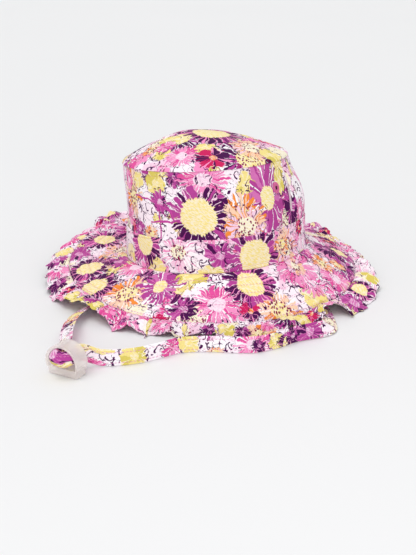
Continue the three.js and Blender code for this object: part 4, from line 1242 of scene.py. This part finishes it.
def makeVent():
    place, beside, above, outward = ventFrame()
    wall = bpy.data.objects["crownWall"]
    middle = Vector((place + hatShift) * 0.001)
    mesh = wall.data
    near = [face.index for face in mesh.polygons if (face.center - middle).length < vent["cut"] * 0.001]
    cut = bmesh.new()
    cut.from_mesh(mesh)
    cut.faces.ensure_lookup_table()
    bmesh.ops.delete(cut, geom=[cut.faces[i] for i in near], context="FACES")
    cut.to_mesh(mesh)
    cut.free()
    hole, ring, height = vent["hole"], vent["ring"], vent["height"]
    # the ring's section from the hole over the front and back again: radius, share of the height
    section = [
        (hole, -2.1), (hole, -0.6), (hole + 0.05, 0.35), (hole + 0.35, 0.8), (hole + 0.9, 1.0),
        (ring - 1.0, 1.0), (ring - 0.45, 0.8), (ring - 0.1, 0.4), (ring, -0.35), (ring - 0.6, -0.8),
        (ring - 0.6, -1.6), (ring, -1.9), (ring - 1.0, -2.3), (hole + 0.6, -2.3),
    ]
    steps = vent["threads"] * 6
    turn = np.arange(steps) / steps * math.tau
    ridge = 1 + 0.16 * np.abs(np.sin(vent["threads"] / 2 * turn)) - 0.08
    grid = []
    for radius, level in section:
        reach = radius * (1 + 0.012 * np.sin(vent["threads"] * turn) * (radius > hole + 1))
        lift = level * height * (ridge if level > 0.5 else 1 + 0 * ridge)
        aside, up = (reach * np.cos(turn))[:, None], (reach * np.sin(turn))[:, None]
        grid.append(place + beside * aside + above * up + outward * lift[:, None])
    grid = np.array(grid)
    rows = len(grid)
    row, step = [g.ravel() for g in np.meshgrid(np.arange(rows), np.arange(steps), indexing="ij")]
    after, first, above = (step + 1) % steps, row * steps, (row + 1) % rows * steps
    corners = np.stack([above + step, above + after, first + after, first + step], axis=1)
    where = np.stack([np.stack([step, row], 1)] * 4, axis=1) * 0.3
    # the two rows inside the hole and the last row at the back by the hole get dark thread colours:
    # painted shade inside the hole
    inner = (row < 2) | (row == rows - 1)
    parts = [(corners[~inner], where[~inner], 0), (corners[inner], where[inner], 1)]
    materials = [threadMaterial("eyeletThread", "e571a6", "b53f7d"),
                 threadMaterial("eyeletHoleShade", "7c1f4c", "4c1230")]
    piece = makeMesh("ventRing", grid.reshape(-1, 3), parts, materials)
    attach(piece, "root")
    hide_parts("vent_eyelet")


makeVent()

# Clear slider: a rounded arch on a thick base, one moulded piece
slider = {
    "width": 27.0, "depth": 13.0, "base": 6.3, "height": 24.8, "archWidth": 28.0, "sideWall": 1.7,
    "topWall": 2.0, "overhang": 0.4, "turn": 29.0, "place": (-107.5, -204.0), "corner": 3.0,
    "flare": 0.6, "bevel": 0.6, "innerBevel": 1.0, "sunkFoot": 0.8, "footHeight": 4, "footInset": 0.1,
    "ridges": 2.1, "ridgeDepth": 0.28, "ridgesEnd": 14,
}
plastic = {
    "thick": "fbf1ec", "thin": "fffaf7", "body": 0.58, "clearness": 0.3, "roughness": 0.05,
    "haze": 0.1, "bending": 1.45,
}


def clearPlastic():
    clear, pad = newMaterial("clearPlastic")
    shader = clear.node_tree.nodes["Principled BSDF"]
    coords = pad.add("ShaderNodeTexCoord").outputs["Object"]
    cloudy = pad.noise(coords, 260, 2.0).outputs["Fac"]
    tint = pad.blend(cloudy, paint(plastic["thick"]), paint(plastic["thin"]))
    pad.feed(shader.inputs["Base Color"], tint)
    rough = pad.math("MULTIPLY_ADD", cloudy, plastic["haze"], plastic["roughness"])
    pad.feed(shader.inputs["Roughness"], rough)
    shader.inputs["Alpha"].default_value = plastic["body"]
    shader.inputs["Transmission Weight"].default_value = plastic["clearness"]
    shader.inputs["IOR"].default_value = plastic["bending"]
    return clear


def archLine(halfWidth, height):  # from the right foot over the arch to the left one
    legs = np.linspace(0, height - halfWidth, 12)[:-1]
    bow = np.linspace(0, math.pi, 40)
    right = np.stack([np.full(len(legs), halfWidth), legs], axis=1)
    bowed = np.stack([halfWidth * np.cos(bow), height - halfWidth + halfWidth * np.sin(bow)], axis=1)
    left = np.stack([np.full(len(legs), -halfWidth), legs[::-1]], axis=1)
    return np.vstack([right, bowed, left])


def archOutside(inset, depthShare):  # its rims flare, its feet narrow and its right leg has ridges
    s, half = slider, slider["archWidth"] / 2
    wider = s["flare"] * depthShare ** 4 - inset
    line = archLine(half + wider, s["height"] - s["base"] + wider)
    foot = 1 - ease((line[:, 1] - s["sunkFoot"]) / s["footHeight"])
    line[:, 0] *= 1 + foot * ((s["width"] / 2 - s["footInset"] - inset) / (half + wider) - 1)
    ridge = s["ridgeDepth"] * (0.5 - 0.5 * np.cos(math.tau * line[:, 1] / s["ridges"]))
    onSide = ease((line[:, 0] - half * 0.72) / (half * 0.2)) * ease((s["ridgesEnd"] - line[:, 1]) / 3)
    line[:, 0] -= ridge * onSide
    return line


def mouldedMesh(name, grid, faces, material):  # around the slider's own middle, without a print
    parts = [(corners, np.zeros((*corners.shape, 2)), 0) for corners in faces]
    return makeMesh(name, grid.reshape(-1, 3), parts, [material], np.zeros(3))


def sliderArch(clear):
    s = slider
    deep = s["depth"] / 2 + s["overhang"]
    windowHalf, windowTop = s["archWidth"] / 2 - s["sideWall"], s["height"] - s["base"] - s["topWall"]
    bevel, inner = s["bevel"], s["innerBevel"]
    turns = np.linspace(0, math.pi / 2, 5)
    edge = [(True, bevel * (1 - math.cos(t)), deep - bevel + bevel * math.sin(t)) for t in turns]
    edge += [(False, inner * (1 - math.sin(t)), deep - inner + inner * math.cos(t)) for t in turns]
    grid = []
    section = edge + [(isOuter, inset, -depth) for isOuter, inset, depth in edge[::-1]]
    for isOuter, inset, depth in section:
        if isOuter:
            line = archOutside(inset, depth / deep)
        else:
            line = archLine(windowHalf + inset, windowTop + inset)
        grid.append(stack(line[:, 0], -depth, line[:, 1] + s["base"] - s["sunkFoot"]))
    grid = np.array(grid)
    rows, steps = grid.shape[:2]
    row, step = [g.ravel() for g in np.meshgrid(np.arange(rows), np.arange(steps - 1), indexing="ij")]
    first, above = row * steps + step, (row + 1) % rows * steps + step
    corners = np.stack([first, first + 1, above + 1, above], axis=1)
    lids = [np.arange(rows) * steps, np.arange(rows)[::-1] * steps + steps - 1]
    return mouldedMesh("sliderArch", grid, [corners, *[lid[None] for lid in lids]], clear)


def sliderBase(clear):
    s, corner, top = slider, slider["corner"], slider["base"]
    # how far the outline is drawn in at each height, which rounds the edges
    edges = [(0.9, 0.15), (0.3, 0.35), (0, 0.9), (0, top - 0.8), (0.3, top - 0.2), (0.9, top)]
    levels = []
    for inset, height in edges:
        outline = []
        for quarter, (sx, sy) in enumerate(((1, -1), (1, 1), (-1, 1), (-1, -1))):
            t = np.linspace(0, math.pi / 2, 7) + (quarter - 1) * math.pi / 2
            x = sx * (s["width"] / 2 - corner) + (corner - inset) * np.cos(t)
            y = sy * (s["depth"] / 2 - corner) + (corner - inset) * np.sin(t)
            outline.append(stack(x, y, height))
        levels.append(np.vstack(outline))
    levels = np.array(levels)
    rows, steps = levels.shape[:2]
    corners, _ = gridCorners(rows, steps, 0, False)
    ring = np.arange(steps)
    lids = [ring[::-1], (rows - 1) * steps + ring]
    return mouldedMesh("strapSlider", levels, [corners, *[lid[None] for lid in lids]], clear)


def makeSlider():
    clear = clearPlastic()
    arch, base = sliderArch(clear), sliderBase(clear)
    union = base.modifiers.new("union", "BOOLEAN")
    union.operation, union.solver, union.object = "UNION", "MANIFOLD", arch
    graph = bpy.context.evaluated_depsgraph_get()
    joined = bpy.data.meshes.new_from_object(base.evaluated_get(graph))
    base.modifiers.clear()
    base.data = joined
    bpy.data.objects.remove(arch)
    points = np.empty(len(joined.vertices) * 3)
    joined.vertices.foreach_get("co", points)
    points = points.reshape(-1, 3) * 1000
    turn, (placeX, placeY) = -math.radians(slider["turn"]), slider["place"]
    x = points[:, 0] * math.cos(turn) - points[:, 1] * math.sin(turn) + placeX
    y = points[:, 0] * math.sin(turn) + points[:, 1] * math.cos(turn) + placeY
    joined.vertices.foreach_set("co", ((stack(x, y, points[:, 2]) + hatShift) * 0.001).ravel())
    joined.update()
    for face in joined.polygons:
        face.use_smooth = True
    joined.set_sharp_from_angle(angle=math.radians(40))
    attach(base, "root")
    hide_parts("strap_toggle")
    return base


sliderPiece = makeSlider()
tuple(strapPath[0])
print("slider made")

# Floor, background and soft studio light
studio = {
    "floor": ("e9eaeb", "ededee"), "floorSize": 14.0, "sky": 0.72,
    "sunStrength": 1.1, "sunAngle": 45, "sunPlace": (-0.3, -0.1, 1.0),
    "fillPower": 7.2, "fillSize": 0.8, "fillPlace": (0.3, -1.6, 0.18),
}


def makeStudio():
    material, pad = newMaterial("paleFloor")
    shader = material.node_tree.nodes["Principled BSDF"]
    coords = pad.add("ShaderNodeTexCoord").outputs["Object"]
    shade = pad.noise(coords, 0.8, 2.0).outputs["Fac"]
    dark, light = studio["floor"]
    pad.feed(shader.inputs["Base Color"], pad.blend(shade, paint(dark), paint(light)))
    shader.inputs["Roughness"].default_value = 0.7
    mesh = bpy.data.meshes.new("floor")
    size = studio["floorSize"]
    corners = [(-size, -size, 0), (size, -size, 0), (size, size, 0), (-size, size, 0)]
    mesh.from_pydata(corners, [], [(0, 1, 2, 3)])
    mesh.materials.append(material)
    floor = bpy.data.objects.new("floor", mesh)
    scene.collection.objects.link(floor)
    world = bpy.data.worlds.new("studio")
    scene.world = world
    world.use_nodes = True
    world.node_tree.nodes["Background"].inputs[0].default_value = (1.0, 1.0, 1.0, 1)
    world.node_tree.nodes["Background"].inputs[1].default_value = studio["sky"]
    sun = bpy.data.lights.new("softSun", "SUN")
    sun.energy, sun.angle = studio["sunStrength"], math.radians(studio["sunAngle"])
    fill = bpy.data.lights.new("frontFill", "AREA")
    fill.energy, fill.size = studio["fillPower"], studio["fillSize"]
    for data, place in ((sun, studio["sunPlace"]), (fill, studio["fillPlace"])):
        lamp = bpy.data.objects.new(data.name, data)
        lamp.location = place
        lamp.rotation_euler = Vector(place).to_track_quat("Z", "Y").to_euler()
        scene.collection.objects.link(lamp)
    scene.view_settings.view_transform = "Standard"


makeStudio()
print("studio made")
